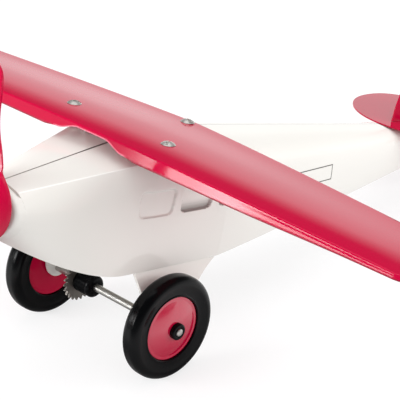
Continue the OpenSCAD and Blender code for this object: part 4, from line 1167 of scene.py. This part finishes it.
# %% Dress the frame's own nodes
FINISH = {"body_paint": cream_enamel, "red_paint": red_enamel, "tyre_rubber": tyre_rubber,
          "black_trim": black_trim, "bright_steel": drawn_steel}
OWN_FINISH = {"click_gear": cast_gear, "left_leg": leg_enamel, "right_leg": leg_enamel,
              "stabiliser": tail_enamel, "fin": tail_enamel}
SLOT_OF = {part["node"]: part["material_slot"] for part in frame["record"]["subparts"]}
SOFT_EDGE, SHARP_FROM = 0.00022, math.radians(35)
for name, node in frame["nodes"].items():
    finish = OWN_FINISH.get(name, FINISH[SLOT_OF[name]])
    node.data.materials.clear()
    node.data.materials.append(finish)
    weld = node.modifiers.new("weld", "WELD")
    weld.merge_threshold = 2e-6
    bevel = node.modifiers.new("soft_edge", "BEVEL")
    bevel.width = SOFT_EDGE
    bevel.segments = 2
    bevel.limit_method = "ANGLE"
    bevel.angle_limit = SHARP_FROM
    flats = node.modifiers.new("flat_faces", "WEIGHTED_NORMAL")
    flats.weight = 100
    flats.keep_sharp = True
print("dressed", len(frame["nodes"]), "nodes")

# %% [markdown]
# ## Floor and world
# The toy stands on a white sweep. Most of the floor's brightness is its own, and the rest is
# light that falls on it, so that it takes soft shadows. The camera sees white everywhere.
# Reflections see a studio: a white sweep behind the toy, shade on the floor below it, a
# darker ceiling, and a dim room on the side of the camera. That is what lets the wing's
# front crest, the propeller and the tyres stay deep in colour while the wing's rear half
# turns pale.

# %% The floor
def add_along(tree, vector, direction):
    """How far a vector reaches along a direction."""
    node = tree.nodes.new("ShaderNodeVectorMath")
    node.operation = "DOT_PRODUCT"
    tree.links.new(vector, node.inputs[0])
    node.inputs[1].default_value = direction
    return node.outputs["Value"]


TO_CAMERA = (0.7, 0.71, 0.0)
FLOOR_HALF, FLOOR_TONE = 6.0, (0.30, 0.30, 0.305, 1)
FLOOR_SEEN, FLOOR_LIT, FLOOR_MIRRORED = 0.72, 0.35, 0.9


def light_paths(tree):
    """Masks of rays: those of the camera, and those of mirror images or glass."""
    path = tree.nodes.new("ShaderNodeLightPath").outputs
    mirrored = add_math(tree, "MAXIMUM", path["Is Glossy Ray"], path["Is Transmission Ray"])
    return path["Is Camera Ray"], mirrored


def make_floor():
    mesh = bpy.data.meshes.new("studio_floor")
    corners = [(FLOOR_HALF * i, FLOOR_HALF * j, 0) for i, j in ((-1, -1), (1, -1), (1, 1), (-1, 1))]
    mesh.from_pydata(corners, [], [(0, 1, 2, 3)])
    floor = bpy.data.objects.new("studio_floor", mesh)
    bpy.context.scene.collection.objects.link(floor)
    material = bpy.data.materials.new("studio_white")
    material.use_nodes = True
    tree = material.node_tree
    tree.nodes.clear()
    leave = tree.nodes.new("ShaderNodeOutputMaterial")
    plain = tree.nodes.new("ShaderNodeBsdfDiffuse")
    plain.inputs["Color"].default_value = FLOOR_TONE
    glow = tree.nodes.new("ShaderNodeEmission")
    camera, mirrored = light_paths(tree)
    place = tree.nodes.new("ShaderNodeNewGeometry").outputs["Position"]
    sweep = add_range(tree, add_along(tree, place, TO_CAMERA), 0.2, 0.55, FLOOR_MIRRORED, 0.0)
    away = tree.nodes.new("ShaderNodeVectorMath")
    away.operation = "DISTANCE"
    tree.links.new(place, away.inputs[0])
    away.inputs[1].default_value = (AXLE.x, 0.0, 0.0)
    shade = add_range(tree, away.outputs["Value"], 0.08, 0.17, 0.05, 1.0)
    sweep = add_math(tree, "MULTIPLY", sweep, shade)
    lit = add_range(tree, mirrored, 0, 1, FLOOR_LIT, sweep)
    tree.links.new(add_range(tree, camera, 0, 1, lit, FLOOR_SEEN), glow.inputs["Strength"])
    both = tree.nodes.new("ShaderNodeAddShader")
    tree.links.new(plain.outputs[0], both.inputs[0])
    tree.links.new(glow.outputs[0], both.inputs[1])
    tree.links.new(both.outputs[0], leave.inputs["Surface"])
    mesh.materials.append(material)
    floor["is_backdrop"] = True


make_floor()
print("floor of", 2 * FLOOR_HALF, "m")

# %% The world
def make_world(light, ceiling, room):
    """White to the camera; light for all surfaces; a studio with ceiling and room in reflections."""
    world = bpy.data.worlds.new("studio_world")
    bpy.context.scene.world = world
    world.use_nodes = True
    tree = world.node_tree
    sky = tree.nodes["Background"]
    sky.inputs["Color"].default_value = (1, 1, 1, 1)
    camera, mirrored = light_paths(tree)
    towards = tree.nodes.new("ShaderNodeTexCoord").outputs["Generated"]
    height = add_along(tree, towards, (0, 0, 1))
    behind = add_range(tree, add_along(tree, towards, TO_CAMERA), -0.1, 0.5, 1.0, room)
    studio = add_math(tree, "MULTIPLY", add_range(tree, height, 0.16, 0.33, 1.0, ceiling), behind)
    lit = add_range(tree, mirrored, 0, 1, light, studio)
    tree.links.new(add_range(tree, camera, 0, 1, lit, 1.0), sky.inputs["Strength"])


make_world(light=0.76, ceiling=0.1, room=0.2)
print("world:", bpy.context.scene.world.name)

# %% [markdown]
# ## Lamps
# Large soft boxes light the toy from above, from both sides of the camera and from the front.
# Most of them are hidden from reflections, because a box that is mirrored in the wing would
# cut its even bands. Two small ones are mirrored on purpose: they stand in front, to the
# right, where the wing's front flange looks, and give that flange its long pale streak.

# %% Place the lamps
LOOK = {"toy": Vector((0, 0.05, 0.1)), "floor": Vector((0, 0, 0.1)), "nose": AXLE + Vector((0, 0, 0.1)),
        "flange": AXLE + Vector((0.03, 0.1, 0.1))}
LAMPS = [
    # name, place, what it looks at, width, height, watts, mirrored
    ("overhead_box", Vector((-0.2, -0.1, 1.6)), "floor", 1.6, 1.6, 8, True),
    ("left_window", Vector((-1.3, 1.7, 0.7)), "toy", 1.4, 1.0, 17.5, False),
    ("camera_side", Vector((0.9, 1.9, 1.3)), "toy", 1.6, 1.0, 8, False),
    ("front_fill", AXLE + Vector((1.4, -0.6, 0.58)), "nose", 1.0, 0.6, 9, False),
    ("flange_glow", AXLE + Vector((1.09, -0.48, 0.44)), "flange", 0.5, 0.3, 4.5, True),
    ("flange_strip", AXLE + Vector((1.09, -0.82, 0.42)), "flange", 0.18, 0.3, 2.0, True),
]
for name, place, target, width, height, watts, mirrored in LAMPS:
    data = bpy.data.lights.new(name, "AREA")
    data.shape, data.size, data.size_y = "RECTANGLE", width, height
    data.energy = watts
    lamp = bpy.data.objects.new(name, data)
    lamp.location = place
    lamp.visible_glossy = mirrored
    lamp.rotation_mode = "QUATERNION"
    lamp.rotation_quaternion = (LOOK[target] - place).to_track_quat("-Z", "Y")
    bpy.context.scene.collection.objects.link(lamp)

# %% [markdown]
# ## The camera
# The viewing angle was worked out from the wheels, the axle and the wing in the picture. The
# camera's axes are written as a matrix, because that leaves no doubt about roll.

# %% Camera
YAW, DIP = 3.93352813, 0.473163113
EYE = AXLE + Vector((0.665077, 0.768732, 0.593787))
ahead = Vector((math.cos(YAW) * math.cos(DIP), math.sin(YAW) * math.cos(DIP), -math.sin(DIP)))
right = Vector((math.sin(YAW), -math.cos(YAW), 0))
upward = right.cross(ahead)
lens = bpy.data.cameras.new("viewpoint")
lens.sensor_width, lens.lens = 36.0, 148.27
lens.clip_start, lens.clip_end = 0.05, 30
viewpoint = bpy.data.objects.new("viewpoint", lens)
bpy.context.scene.collection.objects.link(viewpoint)
pose = Matrix((right, upward, -ahead)).transposed().to_4x4()
pose.translation = EYE
viewpoint.matrix_world = pose
bpy.context.scene.camera = viewpoint
bpy.context.scene.view_settings.view_transform = "Standard"
print("camera looks along", tuple(round(v, 3) for v in ahead))

# %% [markdown]
# ## Measure
# The last step prints the sizes of the solids' box and of the dressed toy's box, one after
# the other, so that any growth shows.

# %% Boxes of the solids and of the dressed toy
dressed_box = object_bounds()
sizes = {"cad": [list(p) for p in solid_box], "visual": [list(p) for p in dressed_box]}
for label, (a, b) in sizes.items():
    print(label, "size in mm:", [round(1000 * (q - p), 1) for p, q in zip(a, b)])
